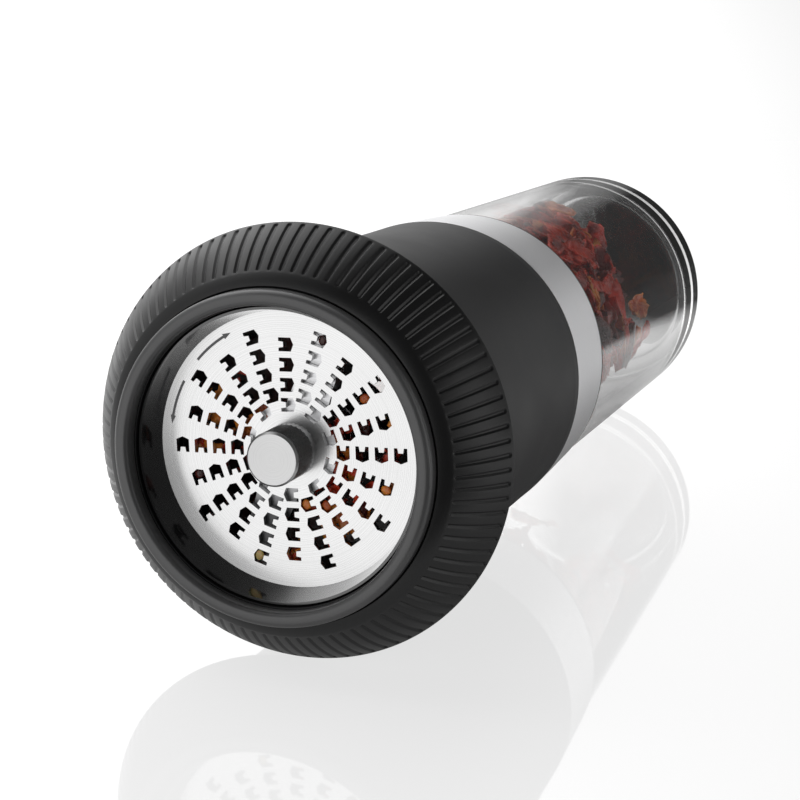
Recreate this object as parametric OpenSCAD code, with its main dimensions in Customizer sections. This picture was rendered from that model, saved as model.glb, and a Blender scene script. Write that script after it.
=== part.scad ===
// Chilli cutter, twisted by hand. A grooved ring turns a toothed disc against a sprung blade bar,
// and a clear container above the hollow body feeds it. It stands on the lip of its ring, axis along +Z.

/* [Cutting disc] */
// Diameter of the steel disc, under its carrier's edge
disc_d = 42.4; // [40:0.2:46]
// Thickness of the steel disc
disc_t = 0.9; // [0.6:0.1:1.4]
// Height of the disc's outer face above the lip
disc_z = 8.1; // [7.6:0.1:10]
// Width of the disc's edge that the carrier covers
disc_seat = 0.5; // [0.3:0.1:0.8]
// Spokes of holes round the disc
spoke_count = 20; // [12:2:22]
// Holes along one spoke
hole_rows = 4; // [2:1:4]
// Radius of the first hole's centre
first_row_r = 6.73; // [6.5:0.05:7]
// Distance between holes along a spoke
row_pitch = 2.98; // [2.8:0.02:3.1]
// Outward shift of every second spoke
stagger = 1.68; // [1.2:0.02:1.8]
// Width of a hole round the disc
hole_w = 2.35; // [1.8:0.05:2.4]
// Length of a hole along its spoke
hole_l = 2.05; // [1.7:0.05:2.3]
// Distance from a spoke's line to the feet of its teeth
hole_foot = 1.05; // [0.8:0.05:1.2]
// Height of the gable at a hole's far side
hole_gable = 0.42; // [0.2:0.02:0.6]
// Length of the tooth in a hole
tooth_l = 0.75; // [0.4:0.05:0.9]
// Width of the tooth at its foot
tooth_w = 1; // [0.7:0.05:1.2]
// Width of the tooth's blunt tip
tooth_tip_w = 0.75; // [0.4:0.05:0.9]

/* [Carrier and lip] */
// Wall of the carrier outside the disc
carrier_wall = 0.8; // [0.6:0.1:1.2]
// Carrier's clamping edge behind the disc
carrier_clamp = 0.8; // [0.5:0.1:1.5]
// Gap between the lip and the carrier's front edge
carrier_drop = 0.4; // [0.2:0.1:1]
// Flare of the carrier's recess wall
carrier_flare = 0.9; // [0.4:0.1:1]
// Width of a bayonet lug and its tab
lug_w = 0.8; // [0.7:0.1:1]
// Thickness of a bayonet lug and its tab
lug_t = 0.9; // [0.6:0.1:1.5]
// Bayonet lugs round the carrier
lug_count = 3; // [3:1:4]
// Angle that one lug covers
lug_angle = 36; // [20:1:40]
// Height of the lip ring
lip_h = 2.6; // [2:0.1:3.4]
// Flat land that the lip stands on
lip_land = 0.8; // [0.4:0.1:1.2]
// Ledge between the lip's opening and the hub's bore
lip_ledge = 0.2; // [0.1:0.05:0.4]
// Lip's reach beyond the hub
lip_reach = 0.8; // [0.5:0.1:1]

/* [Grip ring] */
// Wall of the hub's front
hub_wall = 1.7; // [1.3:0.1:2.5]
// Smooth ledge between the lip and the grooves
ledge_w = 2; // [1.4:0.1:3]
// Rise of the smooth ledge
ledge_rise = 1; // [0.6:0.1:1.6]
// Outward flare from the grooves' start to the rim
flank_w = 6.2; // [5:0.1:8]
// Outward bulge of the flank
flank_bulge = 0.5; // [0.2:0.05:1]
// Height of the smooth rim at the largest diameter
rim_h = 0.9; // [0.5:0.1:1.6]
// Wall of the hollow ring
ring_wall = 2.2; // [1.6:0.1:3]
// Thickness of the plate that closes the ring's back
back_plate_t = 1; // [0.8:0.1:1.5]
// Grooves round the flank
groove_count = 96; // [48:4:108]
// Width of a groove
groove_w = 0.75; // [0.4:0.05:0.9]
// Depth of a groove
groove_depth = 0.6; // [0.3:0.05:0.9]
// Plain stretch at each end of a groove
groove_margin = 0.5; // [0.3:0.1:1.5]

/* [Rotor bearing] */
// Wall of the hopper's neck
neck_wall = 1.3; // [1:0.1:2]
// Step between the carrier and the chamber wall
chamber_step = 0.8; // [0.5:0.1:1.5]
// Wall of the sleeve inside the body
rotor_wall = 1.5; // [1.2:0.1:2]
// Depth of the sleeve's seat in the hub
sleeve_seat = 0.8; // [0.6:0.1:1.5]
// Height of the body's bearing
bearing_h = 9.4; // [6:0.2:14]
// Thickness of the glide ring
glide_t = 0.5; // [0.3:0.1:1]
// Thickness of the retaining ring
snap_t = 1; // [0.8:0.1:1.5]
// Reach of the retaining ring beyond the sleeve
snap_reach = 0.8; // [0.6:0.1:1.2]
// Sleeve above the retaining ring
sleeve_end = 1.4; // [1:0.1:2.5]

/* [Body] */
// Height of the body's top edge above the lip
body_top_z = 69.3; // [60:0.5:80]
// Wall of the body at its top edge
body_wall = 1.87; // [1.5:0.01:2.5]
// Flare of the body towards the ring
body_flare = 2.13; // [1:0.05:3]
// Inward bow of the body's side
body_bow = 0.45; // [0.2:0.05:0.8]
// Rounded edges of the body
body_round = 0.5; // [0.3:0.1:0.8]
// Step that the hopper rests on
hopper_step = 0.4; // [0.3:0.05:0.6]
// Wall of the hopper
hopper_wall = 1.4; // [1:0.1:2]
// Thickness of the ledge in the hopper
ledge_t = 2; // [1.5:0.1:3]
// Height of the steel band
band_h = 17.5; // [12:0.5:22]
// Taper of the steel band's radius
band_taper = 0.92; // [0.4:0.02:1.2]
// Thickness of the steel band
band_t = 0.6; // [0.4:0.05:0.8]
// Wall of the container's socket below the band
socket_wall = 1; // [0.8:0.05:1.2]
// Depth of the socket inside the body
socket_depth = 7; // [4:0.5:12]

/* [Container] */
// Thickness of the seal
seal_t = 0.5; // [0.3:0.1:1]
// Length of the container that shows
container_l = 78.65; // [60:0.05:95]
// Height of the container's neck end above the body's top edge
neck_rise = 3.05; // [1:0.05:6]
// Wall of the container's neck
container_wall = 2.3; // [1.6:0.1:3]
// Step from the neck to the container's shoulder
shoulder_w = 1.9; // [1.2:0.1:2]
// Taper of the container's radius
container_taper = 1.07; // [0.4:0.01:1.5]
// Thickness of the closed end
container_end_t = 7; // [4:0.5:10]
// Rounded edge of the closed end
container_round = 1.2; // [0.6:0.1:2]
// Depth of the dish in the closed end
dish_depth = 0.8; // [0.4:0.1:1.5]
// Width of the rim round the dish
dish_rim = 2.2; // [1.6:0.1:4]

/* [Knob] */
// Diameter of the knob
knob_d = 8.14; // [7:0.02:9]
// Length of the knob
knob_h = 6.46; // [5:0.02:7]
// Chamfer of the knob's edges
knob_chamfer = 0.35; // [0.2:0.05:0.6]
// Diameter of the knob's spigot through the disc
spigot_d = 5.2; // [4.6:0.1:5.6]
// Diameter of the washer behind the disc
knob_washer_d = 10; // [8.6:0.1:10.4]
// Thickness of the washer behind the disc
knob_washer_t = 0.6; // [0.4:0.1:0.8]
// Knob spigot's reach beyond the washer
spigot_end = 0.3; // [0.2:0.05:0.5]
// Grooves round the knob
knurl_count = 36; // [24:2:44]
// Depth of a knob groove
knurl_depth = 0.25; // [0.15:0.05:0.35]

/* [Shaft and blade] */
// Diameter of the pilot pin
pilot_d = 3; // [2.4:0.1:3.4]
// Depth of the pilot pin in the knob
pilot_l = 4; // [3:0.1:4.5]
// Square shaft, across its flats
square_w = 4.6; // [4:0.1:5]
// Diameter of the shaft in the bridge
shaft_d = 5; // [4:0.1:5.4]
// Gap between blade bar and disc
blade_gap = 0.15; // [0.05:0.05:0.3]
// Thickness of the blade bar
blade_t = 2.4; // [2:0.1:3]
// Diameter of the blade bar's hub
blade_hub_d = 14; // [13:0.2:16]
// Width of a blade arm at its hub
blade_w = 7; // [5:0.2:9]
// Width of a blade arm at its tip
blade_tip_w = 5; // [4:0.2:7]
// Width of the cutting bevel
bevel_w = 1; // [0.6:0.1:1.6]
// Gap between blade tip and chamber wall
blade_clear = 0.8; // [0.5:0.1:2]
// Direction of the blade arms, from the first spoke
blade_angle = 22; // [0:1:90]
// Thickness of the washer under the spring
seat_t = 0.5; // [0.4:0.1:1]
// Mean diameter of the spring
spring_d = 9; // [8.8:0.1:9.6]
// Diameter of the spring's wire
wire_d = 0.9; // [0.6:0.05:1.1]
// Turns of the spring
spring_turns = 5; // [3:1:6]

/* [Bridge] */
// Arms of the bridge
arm_count = 3; // [3:1:4]
// Width of a bridge arm
arm_w = 3.6; // [2.4:0.2:5]
// Height of a bridge arm
arm_h = 3; // [2:0.2:5]
// Thickness of the bridge's rim
rim_t = 2.5; // [1.6:0.1:3]
// Width of the bridge's rim
rim_w = 3; // [2.8:0.1:3.2]
// Diameter of the bridge's hub
hub_d = 13; // [12:0.5:16]
// Hub's reach below the ledge
hub_drop = 3; // [2:0.2:4]
// Hub's reach above the ledge
hub_rise = 3.6; // [3:0.2:6]
// Diameter of a screw's shank
screw_d = 1.3; // [1:0.1:1.6]
// Diameter of a screw's head
screw_head_d = 2.3; // [1.8:0.1:2.6]
// Height of a screw's head
screw_head_h = 0.9; // [0.6:0.1:1.4]
// Depth of a screw in the hopper's ledge
screw_depth = 1.5; // [1:0.1:1.8]
// Thickness of the shaft's washer
shaft_washer_t = 0.5; // [0.4:0.1:1]
// Diameter of the shaft's washer
shaft_washer_d = 9.6; // [9:0.2:11]
// Nut, across its flats
nut_w = 7.4; // [7:0.1:9]
// Height of the nut
nut_h = 3; // [2:0.1:4]
// Shaft's reach beyond the nut
shaft_end = 1; // [0.5:0.1:2]

/* [Clearances] */
// Gap between pieces that turn or slide past each other
run_gap = 0.3; // [0.2:0.05:0.4]
// Gap between pieces that are fixed together
fit_gap = 0.05; // [0.02:0.01:0.1]
// Gap round a pin or square that guides
guide_gap = 0.06; // [0.03:0.01:0.1]

/* [Hidden] */
$fn = 96;

// Overlap that lets a cut run clear of the solid it cuts
over = 1;
// Straight steps that make up the body's bowed side
side_steps = 12;

// Radii from the disc outwards
disc_r = disc_d / 2;
disc_open_r = disc_r - disc_seat;
carrier_r = disc_r + carrier_wall;
front_bore_r = carrier_r + run_gap;
tab_r = carrier_r - lug_w + run_gap;
carrier_neck_r = carrier_r - lug_w;
carrier_neck_in_r = carrier_neck_r - carrier_wall;
ring_hub_r = front_bore_r + hub_wall;
lip_in_r = front_bore_r + lip_ledge;
lip_r = ring_hub_r + lip_reach;
flank_start_r = lip_r + ledge_w;
ring_r = flank_start_r + flank_w;

// Radii of the bearing, from the chamber outwards
chamber_r = carrier_neck_in_r - chamber_step;
hopper_neck_r = chamber_r + neck_wall;
rotor_in_r = hopper_neck_r + run_gap;
rotor_r = rotor_in_r + rotor_wall;
bearing_r = rotor_r + run_gap;
snap_in_r = rotor_r - rotor_wall / 2;
snap_r = rotor_r + snap_reach;
body_mid_r = snap_r + run_gap;
body_bore_r = body_mid_r + hopper_step;
body_top_r = body_bore_r + body_wall;
body_low_r = body_top_r + body_flare;
hopper_r = body_bore_r - fit_gap;
hopper_in_r = hopper_r - hopper_wall;
socket_bore_r = hopper_r - socket_wall;
band_top_r = body_top_r - band_taper;

// Heights, from the lip upwards
disc_back_z = disc_z + disc_t;
carrier_top_z = disc_back_z + carrier_clamp;
tab_z = carrier_top_z + run_gap;
lug_z = tab_z + lug_t + run_gap;
lug_top_z = lug_z + lug_t;
seat_z = lug_top_z + run_gap;
ring_h = seat_z + sleeve_seat;
body_z = ring_h + glide_t + run_gap;
bearing_top_z = body_z + bearing_h;
snap_z = bearing_top_z + run_gap;
rotor_top_z = snap_z + snap_t + sleeve_end;
hopper_z = rotor_top_z + run_gap;
ledge_z = hopper_z + ledge_t;
hopper_top_z = body_top_z - socket_depth - run_gap;
band_top_z = body_top_z + band_h;
shoulder_z = band_top_z + seal_t + fit_gap;
total_h = shoulder_z + container_l;

// Blade, shaft and bridge
blade_z = disc_back_z + blade_gap;
blade_top_z = blade_z + blade_t;
blade_r = chamber_r - blade_clear;
spigot_top_z = disc_back_z + knob_washer_t + spigot_end;
pocket_top_z = spigot_top_z + run_gap;
square_z = pocket_top_z + fit_gap;
hub_z = ledge_z - hub_drop;
hub_top_z = ledge_z + hub_rise;
nut_z = hub_top_z + shaft_washer_t;
spring_z = blade_top_z + seat_t;
rim_r = hopper_in_r - fit_gap;
screw_ring_r = rim_r - rim_w / 2;

// Container
container_neck_r = socket_bore_r - run_gap;
container_in_r = container_neck_r - container_wall;
shoulder_r = container_neck_r + shoulder_w;
container_end_r = shoulder_r - container_taper;
container_neck_z = body_top_z + neck_rise;
cavity_top_z = total_h - container_end_t;

// The flank's arc: it runs from the grooves' start to the rim and bulges outwards
flank_start = [flank_start_r, lip_h + ledge_rise - run_gap];
flank_end = [ring_r, ring_h - rim_h];
flank_dir = unit(flank_end - flank_start);
flank_normal = [flank_dir[1], -flank_dir[0]];
flank_chord = norm(flank_end - flank_start);
flank_arc_r = arc_radius(flank_chord, flank_bulge);
flank_centre = (flank_start + flank_end) / 2 - flank_normal * (flank_arc_r - flank_bulge);

function unit(v) = v / norm(v);

// Radius of the arc over a chord, from the arc's height
function arc_radius(chord, height) = (chord * chord / 4 + height * height) / (2 * height);

// A ring of rectangular section
module ring(r_in, r_out, z_low, z_high) {
    rotate_extrude()
        translate([r_in, z_low])
            square([r_out - r_in, z_high - z_low]);
}

// A part of such a ring, centred on the X axis
module ring_sector(r_in, r_out, z_low, z_high, angle) {
    rotate([0, 0, -angle / 2])
        rotate_extrude(angle = angle)
            translate([r_in, z_low])
                square([r_out - r_in, z_high - z_low]);
}

// A disc between two heights
module drum(r, z_low, z_high) {
    translate([0, 0, z_low])
        cylinder(h = z_high - z_low, r = r);
}

// A square bar between two heights
module square_bar(width, z_low, z_high) {
    translate([-width / 2, -width / 2, z_low])
        cube([width, width, z_high - z_low]);
}

// Copies round the axis
module around(count, start = 0) {
    for (i = [0 : count - 1])
        rotate([0, 0, start + i * 360 / count])
            children();
}

// Container

module container() {
    dish_r = container_end_r - dish_rim;
    corner = [container_end_r - container_round, total_h - container_round];
    color("whitesmoke", 0.5)
        rotate_extrude()
            difference() {
                union() {
                    polygon([
                        [0, container_neck_z], [container_neck_r, container_neck_z],
                        [container_neck_r, shoulder_z], [shoulder_r, shoulder_z],
                        [container_end_r, corner[1]], [corner[0], corner[1]], [corner[0], total_h],
                        [0, total_h]
                    ]);
                    translate(corner)
                        circle(r = container_round);
                }
                translate([-over, 0])
                    square([over, total_h + over]);
                polygon([
                    [-over, container_neck_z - over], [container_in_r, container_neck_z - over],
                    [container_in_r, container_neck_z],
                    [container_in_r - container_taper / 2, cavity_top_z], [-over, cavity_top_z]
                ]);
                translate([-over, total_h - dish_depth])
                    square([dish_r + over, dish_depth + over]);
            }
}

module container_seal() {
    color("black")
        ring(socket_bore_r, band_top_r - fit_gap, band_top_z, band_top_z + seal_t);
}

// Body

module jar_socket() {
    wall = band_t + fit_gap;
    color("dimgray")
        rotate_extrude()
            polygon([
                [socket_bore_r, body_top_z - socket_depth], [hopper_r, body_top_z - socket_depth],
                [hopper_r, body_top_z], [body_top_r - wall, body_top_z], [band_top_r - wall, band_top_z],
                [socket_bore_r, band_top_z]
            ]);
}

module steel_band() {
    color("silver")
        rotate_extrude()
            polygon([
                [body_top_r - band_t, body_top_z], [body_top_r, body_top_z], [band_top_r, band_top_z],
                [band_top_r - band_t, band_top_z]
            ]);
}

module body_shell() {
    side_z = body_z + body_round;
    side_h = body_top_z - side_z;
    side = [for (i = [0 : side_steps])
        let (t = i / side_steps)
        [body_low_r - body_flare * t - body_bow * 4 * t * (1 - t), side_z + side_h * t]];
    color("darkslategray")
        rotate_extrude()
            polygon(concat(
                [[bearing_r, body_z], [body_low_r - body_round, body_z]],
                side,
                [
                    [body_bore_r, body_top_z], [body_bore_r, hopper_z], [body_mid_r, hopper_z],
                    [body_mid_r, bearing_top_z], [bearing_r, bearing_top_z]
                ]
            ));
}

module hopper() {
    color("gray")
        difference() {
            rotate_extrude()
                polygon([
                    [chamber_r, seat_z], [hopper_neck_r, seat_z], [hopper_neck_r, hopper_z],
                    [hopper_r, hopper_z], [hopper_r, hopper_top_z], [hopper_in_r, hopper_top_z],
                    [hopper_in_r, ledge_z], [chamber_r, ledge_z]
                ]);
            around(arm_count, 180 / arm_count)
                translate([screw_ring_r, 0, 0])
                    drum(screw_d / 2 + fit_gap, ledge_z - screw_depth - fit_gap, ledge_z + over);
        }
}

// Bridge and shaft

module spider() {
    color("gray")
        difference() {
            union() {
                ring(rim_r - rim_w, rim_r, ledge_z, ledge_z + rim_t);
                drum(hub_d / 2, hub_z, hub_top_z);
                around(arm_count)
                    translate([0, -arm_w / 2, ledge_z])
                        cube([rim_r - rim_w / 2, arm_w, arm_h]);
            }
            drum(shaft_d / 2 + fit_gap, hub_z - over, hub_top_z + over);
            around(arm_count, 180 / arm_count)
                translate([screw_ring_r, 0, 0])
                    drum(screw_d / 2 + fit_gap, ledge_z - over, ledge_z + rim_t + over);
        }
}

module spider_screws() {
    head_z = ledge_z + rim_t;
    color("silver")
        around(arm_count, 180 / arm_count)
            translate([screw_ring_r, 0, 0]) {
                drum(screw_d / 2, ledge_z - screw_depth, head_z);
                drum(screw_head_d / 2, head_z, head_z + screw_head_h);
            }
}

module shaft() {
    color("silver") {
        drum(pilot_d / 2, spigot_top_z - spigot_end - pilot_l - disc_t, square_z);
        square_bar(square_w, square_z, hub_z);
        drum(shaft_d / 2, hub_z, nut_z + nut_h + shaft_end);
    }
}

module shaft_washer() {
    color("silver")
        ring(shaft_d / 2 + fit_gap, shaft_washer_d / 2, hub_top_z, nut_z);
}

module shaft_nut() {
    color("silver")
        difference() {
            translate([0, 0, nut_z])
                cylinder(h = nut_h, r = nut_w / 2 / cos(30), $fn = 6);
            drum(shaft_d / 2 + fit_gap, nut_z - over, nut_z + nut_h + over);
        }
}

// Spring: one tube of rings along a helix, between its washer and the bridge

wire_sides = 6;
rings_per_turn = 8;
spring_rings = spring_turns * rings_per_turn;
spring_low = spring_z + wire_d / 2 + fit_gap;
spring_rise = hub_z - wire_d / 2 - fit_gap - spring_low;

function spring_centre(i) =
    let (a = i * 360 / rings_per_turn)
    [spring_d / 2 * cos(a), spring_d / 2 * sin(a), spring_low + spring_rise * i / spring_rings];

function spring_point(i, k) =
    let (a = i * 360 / rings_per_turn, s = k * 360 / wire_sides, r = spring_d / 2 + wire_d / 2 * cos(s))
    [r * cos(a), r * sin(a), spring_low + spring_rise * i / spring_rings + wire_d / 2 * sin(s)];

function spring_least_gap() =
    min([for (i = [0 : spring_rings - rings_per_turn])
        for (j = [i + rings_per_turn / 2 : spring_rings])
            norm(spring_centre(i) - spring_centre(j)) - wire_d]);

module blade_spring() {
    echo(spring_least_gap = spring_least_gap());
    points = [for (i = [0 : spring_rings]) for (k = [0 : wire_sides - 1]) spring_point(i, k)];
    last = spring_rings * wire_sides;
    sides = [for (i = [0 : spring_rings - 1]) for (k = [0 : wire_sides - 1])
        let (a = i * wire_sides + k, b = i * wire_sides + (k + 1) % wire_sides)
        each [[a, b, b + wire_sides], [a, b + wire_sides, a + wire_sides]]];
    caps = [for (k = [1 : wire_sides - 2]) each [[0, k + 1, k], [last, last + k, last + k + 1]]];
    color("silver")
        polyhedron(points, concat(sides, caps));
}

module spring_seat() {
    color("silver")
        difference() {
            drum(spring_d / 2 + wire_d, blade_top_z, spring_z);
            square_bar(square_w + 2 * guide_gap, blade_top_z - over, spring_z + over);
        }
}

// Blade bar: two arms with a bevel along each leading edge, and a pocket that clears the knob's washer

module blade_arm() {
    land_z = blade_z + blade_t / 3;
    difference() {
        intersection() {
            translate([0, 0, blade_z])
                linear_extrude(blade_t)
                    polygon([
                        [0, -blade_w / 2], [blade_r, -blade_tip_w / 2], [blade_r, blade_tip_w / 2],
                        [0, blade_w / 2]
                    ]);
            drum(blade_r, blade_z, blade_top_z);
        }
        translate([blade_hub_d / 2, 0, 0])
            rotate([90, 0, 90])
                linear_extrude(blade_r)
                    polygon([
                        [-blade_w / 2 - over, land_z], [-blade_w / 2 - over, blade_top_z + over],
                        [-blade_tip_w / 2 + bevel_w, blade_top_z + over],
                        [-blade_tip_w / 2 + bevel_w, blade_top_z], [-blade_w / 2, land_z]
                    ]);
    }
}

module blade_bar() {
    color("lightgray")
        rotate([0, 0, blade_angle])
            difference() {
                union() {
                    drum(blade_hub_d / 2, blade_z, blade_top_z);
                    around(2)
                        blade_arm();
                }
                drum(knob_washer_d / 2 + run_gap, blade_z - over, pocket_top_z);
                rotate([0, 0, -blade_angle])
                    square_bar(square_w + 2 * guide_gap, blade_z - over, blade_top_z + over);
            }
}

// Ring

module ring_hub() {
    color("black") {
        difference() {
            ring(front_bore_r, ring_hub_r, lip_h, ring_h);
            ring(rotor_in_r, rotor_r + fit_gap, seat_z, ring_h + over);
        }
        around(lug_count)
            ring_sector(tab_r, front_bore_r + hub_wall / 2, tab_z, tab_z + lug_t, lug_angle);
    }
}

module rotor_sleeve() {
    color("black")
        difference() {
            ring(rotor_in_r, rotor_r, seat_z, rotor_top_z);
            ring(snap_in_r, rotor_r + over, snap_z, snap_z + snap_t);
        }
}

module retaining_ring() {
    color("dimgray")
        difference() {
            ring(snap_in_r + fit_gap, snap_r, snap_z + fit_gap, snap_z + snap_t - fit_gap);
            translate([0, -snap_t / 2, snap_z - over])
                cube([snap_r + over, snap_t, snap_t + 2 * over]);
        }
}

module glide_ring() {
    color("ivory")
        ring(bearing_r, body_low_r - body_flare, ring_h, ring_h + glide_t);
}

// Section of the flank's arc, drawn in by some depth
module flank_arc(depth) {
    translate(flank_centre)
        circle(r = flank_arc_r - depth, $fn = 360);
}

// Section of one groove, outside the drawn-in arc
module groove_section() {
    low = flank_start + flank_dir * groove_margin;
    high = flank_end - flank_dir * groove_margin;
    reach = flank_normal * (groove_depth + flank_bulge + over);
    difference() {
        polygon([low - reach, high - reach, high + reach, low + reach]);
        flank_arc(groove_depth);
    }
}

module grip_section() {
    inner_r = ring_hub_r + fit_gap;
    reach = flank_normal * (flank_bulge + over);
    cavity_r = inner_r + ring_wall;
    cavity_z = lip_h + ring_wall + ledge_rise;
    plate_z = ring_h - back_plate_t - fit_gap;
    difference() {
        union() {
            polygon([
                [inner_r, lip_h + fit_gap], [lip_r + fit_gap, lip_h + fit_gap],
                [lip_r + run_gap, lip_h - run_gap], flank_start, flank_end, [ring_r, ring_h],
                [inner_r, ring_h]
            ]);
            intersection() {
                flank_arc(0);
                polygon([flank_start, flank_end, flank_end + reach, flank_start + reach]);
            }
        }
        polygon([
            [cavity_r, cavity_z], flank_start + [0, ring_wall + groove_depth],
            flank_end + [-ring_wall, -back_plate_t], [ring_r - ring_wall, ring_h + over],
            [inner_r - over, ring_h + over], [inner_r - over, plate_z], [cavity_r, plate_z]
        ]);
    }
}

module grip_ring() {
    color("black")
        difference() {
            rotate_extrude()
                grip_section();
            around(groove_count)
                rotate([90, 0, 0])
                    linear_extrude(groove_w, center = true)
                        groove_section();
        }
}

module ring_back_plate() {
    color("black")
        ring(ring_hub_r + fit_gap, ring_r - ring_wall - fit_gap, ring_h - back_plate_t, ring_h);
}

module bezel_ring() {
    land_r = lip_in_r + (lip_r - lip_in_r - lip_land) / 3;
    crown_r = lip_r - land_r - lip_land;
    color("black")
        rotate_extrude() {
            polygon([
                [lip_in_r, land_r - lip_in_r], [land_r, 0], [land_r + lip_land, 0],
                [land_r + lip_land, crown_r], [lip_r, crown_r], [lip_r, lip_h], [lip_in_r, lip_h]
            ]);
            intersection() {
                translate([land_r + lip_land, crown_r])
                    circle(r = crown_r);
                translate([land_r + lip_land, 0])
                    square([crown_r, crown_r]);
            }
        }
}

// Disc and knob

module disc_carrier() {
    front_z = lip_h + carrier_drop;
    color("black") {
        rotate_extrude()
            polygon([
                [disc_open_r + carrier_flare, front_z], [carrier_r, front_z], [carrier_r, carrier_top_z],
                [carrier_neck_r, carrier_top_z], [carrier_neck_r, lug_top_z],
                [carrier_neck_in_r, lug_top_z], [carrier_neck_in_r, disc_back_z], [disc_r, disc_back_z],
                [disc_r, disc_z], [disc_open_r, disc_z]
            ]);
        around(lug_count)
            ring_sector(carrier_neck_r - carrier_wall / 2, carrier_r, lug_z, lug_top_z, lug_angle);
    }
}

// One hole: X runs along its spoke, and the tooth points along +Y
module hole_section() {
    side = hole_l / 2;
    foot = -hole_foot;
    far = hole_w - hole_foot;
    polygon([
        [-side, foot], [-tooth_w / 2, foot], [-tooth_tip_w / 2, foot + tooth_l],
        [tooth_tip_w / 2, foot + tooth_l], [tooth_w / 2, foot], [side, foot],
        [side, far - hole_gable], [0, far], [-side, far - hole_gable]
    ]);
}

module cutting_disc() {
    color("gainsboro")
        translate([0, 0, disc_z])
            linear_extrude(disc_t)
                difference() {
                    circle(r = disc_r - fit_gap);
                    circle(r = spigot_d / 2 + fit_gap);
                    for (spoke = [0 : spoke_count - 1])
                        rotate(spoke * 360 / spoke_count)
                            for (row = [0 : hole_rows - 1])
                                translate([first_row_r + row * row_pitch + (spoke % 2) * stagger, 0])
                                    hole_section();
                }
}

module knob() {
    knob_r = knob_d / 2;
    end_z = disc_z - knob_h;
    bore_z = spigot_top_z - spigot_end - pilot_l - disc_t - run_gap;
    color("silver")
        difference() {
            union() {
                rotate_extrude()
                    polygon([
                        [0, end_z], [knob_r - knob_chamfer, end_z], [knob_r, end_z + knob_chamfer],
                        [knob_r, disc_z - knob_chamfer], [knob_r - knob_chamfer, disc_z], [0, disc_z]
                    ]);
                drum(spigot_d / 2, disc_z, spigot_top_z);
            }
            drum(pilot_d / 2 + guide_gap, bore_z, spigot_top_z + over);
            around(knurl_count)
                translate([knob_r, 0, end_z + 2 * knob_chamfer])
                    rotate([0, 0, 45])
                        translate([-knurl_depth, -knurl_depth, 0])
                            cube([2 * knurl_depth, 2 * knurl_depth, knob_h - 4 * knob_chamfer]);
        }
}

module knob_washer() {
    color("silver")
        ring(spigot_d / 2 + fit_gap, knob_washer_d / 2, disc_back_z, disc_back_z + knob_washer_t);
}

container();
container_seal();
jar_socket();
steel_band();
body_shell();
hopper();
spider();
spider_screws();
shaft();
shaft_washer();
shaft_nut();
blade_spring();
spring_seat();
blade_bar();
ring_hub();
rotor_sleeve();
retaining_ring();
glide_ring();
grip_ring();
ring_back_plate();
bezel_ring();
disc_carrier();
cutting_disc();
knob();
knob_washer();
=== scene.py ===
"""Looks of a hand-twisted chilli cutter: its shells, finishes, contents, table and camera.

Every piece is made in metres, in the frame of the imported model, and rides on one of its bodies.
"""

from __future__ import annotations

import logging
import math
import random
from dataclasses import dataclass, field
from enum import Enum
from functools import cache

import bmesh
import bpy
from mathutils import Matrix, Vector, noise

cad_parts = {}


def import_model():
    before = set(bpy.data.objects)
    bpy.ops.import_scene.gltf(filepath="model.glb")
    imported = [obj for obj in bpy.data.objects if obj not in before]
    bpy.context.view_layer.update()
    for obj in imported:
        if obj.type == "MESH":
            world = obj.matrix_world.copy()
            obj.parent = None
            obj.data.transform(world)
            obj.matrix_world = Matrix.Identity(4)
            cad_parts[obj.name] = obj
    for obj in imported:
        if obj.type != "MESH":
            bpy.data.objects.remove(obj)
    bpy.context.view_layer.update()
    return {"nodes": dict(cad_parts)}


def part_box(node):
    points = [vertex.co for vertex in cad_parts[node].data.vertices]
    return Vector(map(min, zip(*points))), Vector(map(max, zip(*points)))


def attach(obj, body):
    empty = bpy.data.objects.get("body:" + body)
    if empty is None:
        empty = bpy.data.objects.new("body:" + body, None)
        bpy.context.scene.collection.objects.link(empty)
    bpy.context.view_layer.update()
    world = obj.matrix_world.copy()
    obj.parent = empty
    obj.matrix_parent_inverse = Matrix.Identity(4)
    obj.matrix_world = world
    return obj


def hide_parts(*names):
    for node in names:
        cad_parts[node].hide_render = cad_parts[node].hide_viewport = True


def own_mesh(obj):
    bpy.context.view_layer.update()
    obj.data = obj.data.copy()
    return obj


LOG = logging.getLogger("chilli_cutter")

MM = 0.001
TURN = 2 * math.pi
SEGMENTS = 192
MERGE_REACH = 1e-7
MATCH_REACH = 1e-6
ALL_SMOOTH = 180.0
WHOLE = (0.0, 1.0)

Point = tuple[float, float]
Triple = tuple[float, float, float]
Tree = bpy.types.NodeTree
Socket = bpy.types.NodeSocket
Shape = bmesh.types.BMesh


class LineRun(Enum):
    """Which way the fine lines of a worked metal run, by the name of the shader group's input."""

    ROUND_SIDE = "Side"
    ROUND_FACE = "Face"
    ACROSS = "Across"


class Body(str, Enum):
    """Names of the moving bodies that pieces ride on."""

    BODY = "body"
    RING = "ring"
    DISC = "disc"
    CONTAINER = "container"


# Shader nodes


def new_material(name: str) -> tuple[bpy.types.Material, bpy.types.Node]:
    """Make a material with one Principled shader.

    Args:
        name: The material's name.

    Returns:
        The material and its Principled node.
    """
    material = bpy.data.materials.new(name)
    material.use_nodes = True
    return material, material.node_tree.nodes["Principled BSDF"]


def set_inputs(node: bpy.types.Node, values: dict[str, float | tuple[float, ...]]) -> None:
    """Set a node's inputs.

    Args:
        node: The node.
        values: Values by the names of the inputs.
    """
    for name, value in values.items():
        node.inputs[name].default_value = value


def object_coords(tree: Tree) -> Socket:
    """Give the coordinates of the piece itself."""
    return tree.nodes.new("ShaderNodeTexCoord").outputs["Object"]


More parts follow.
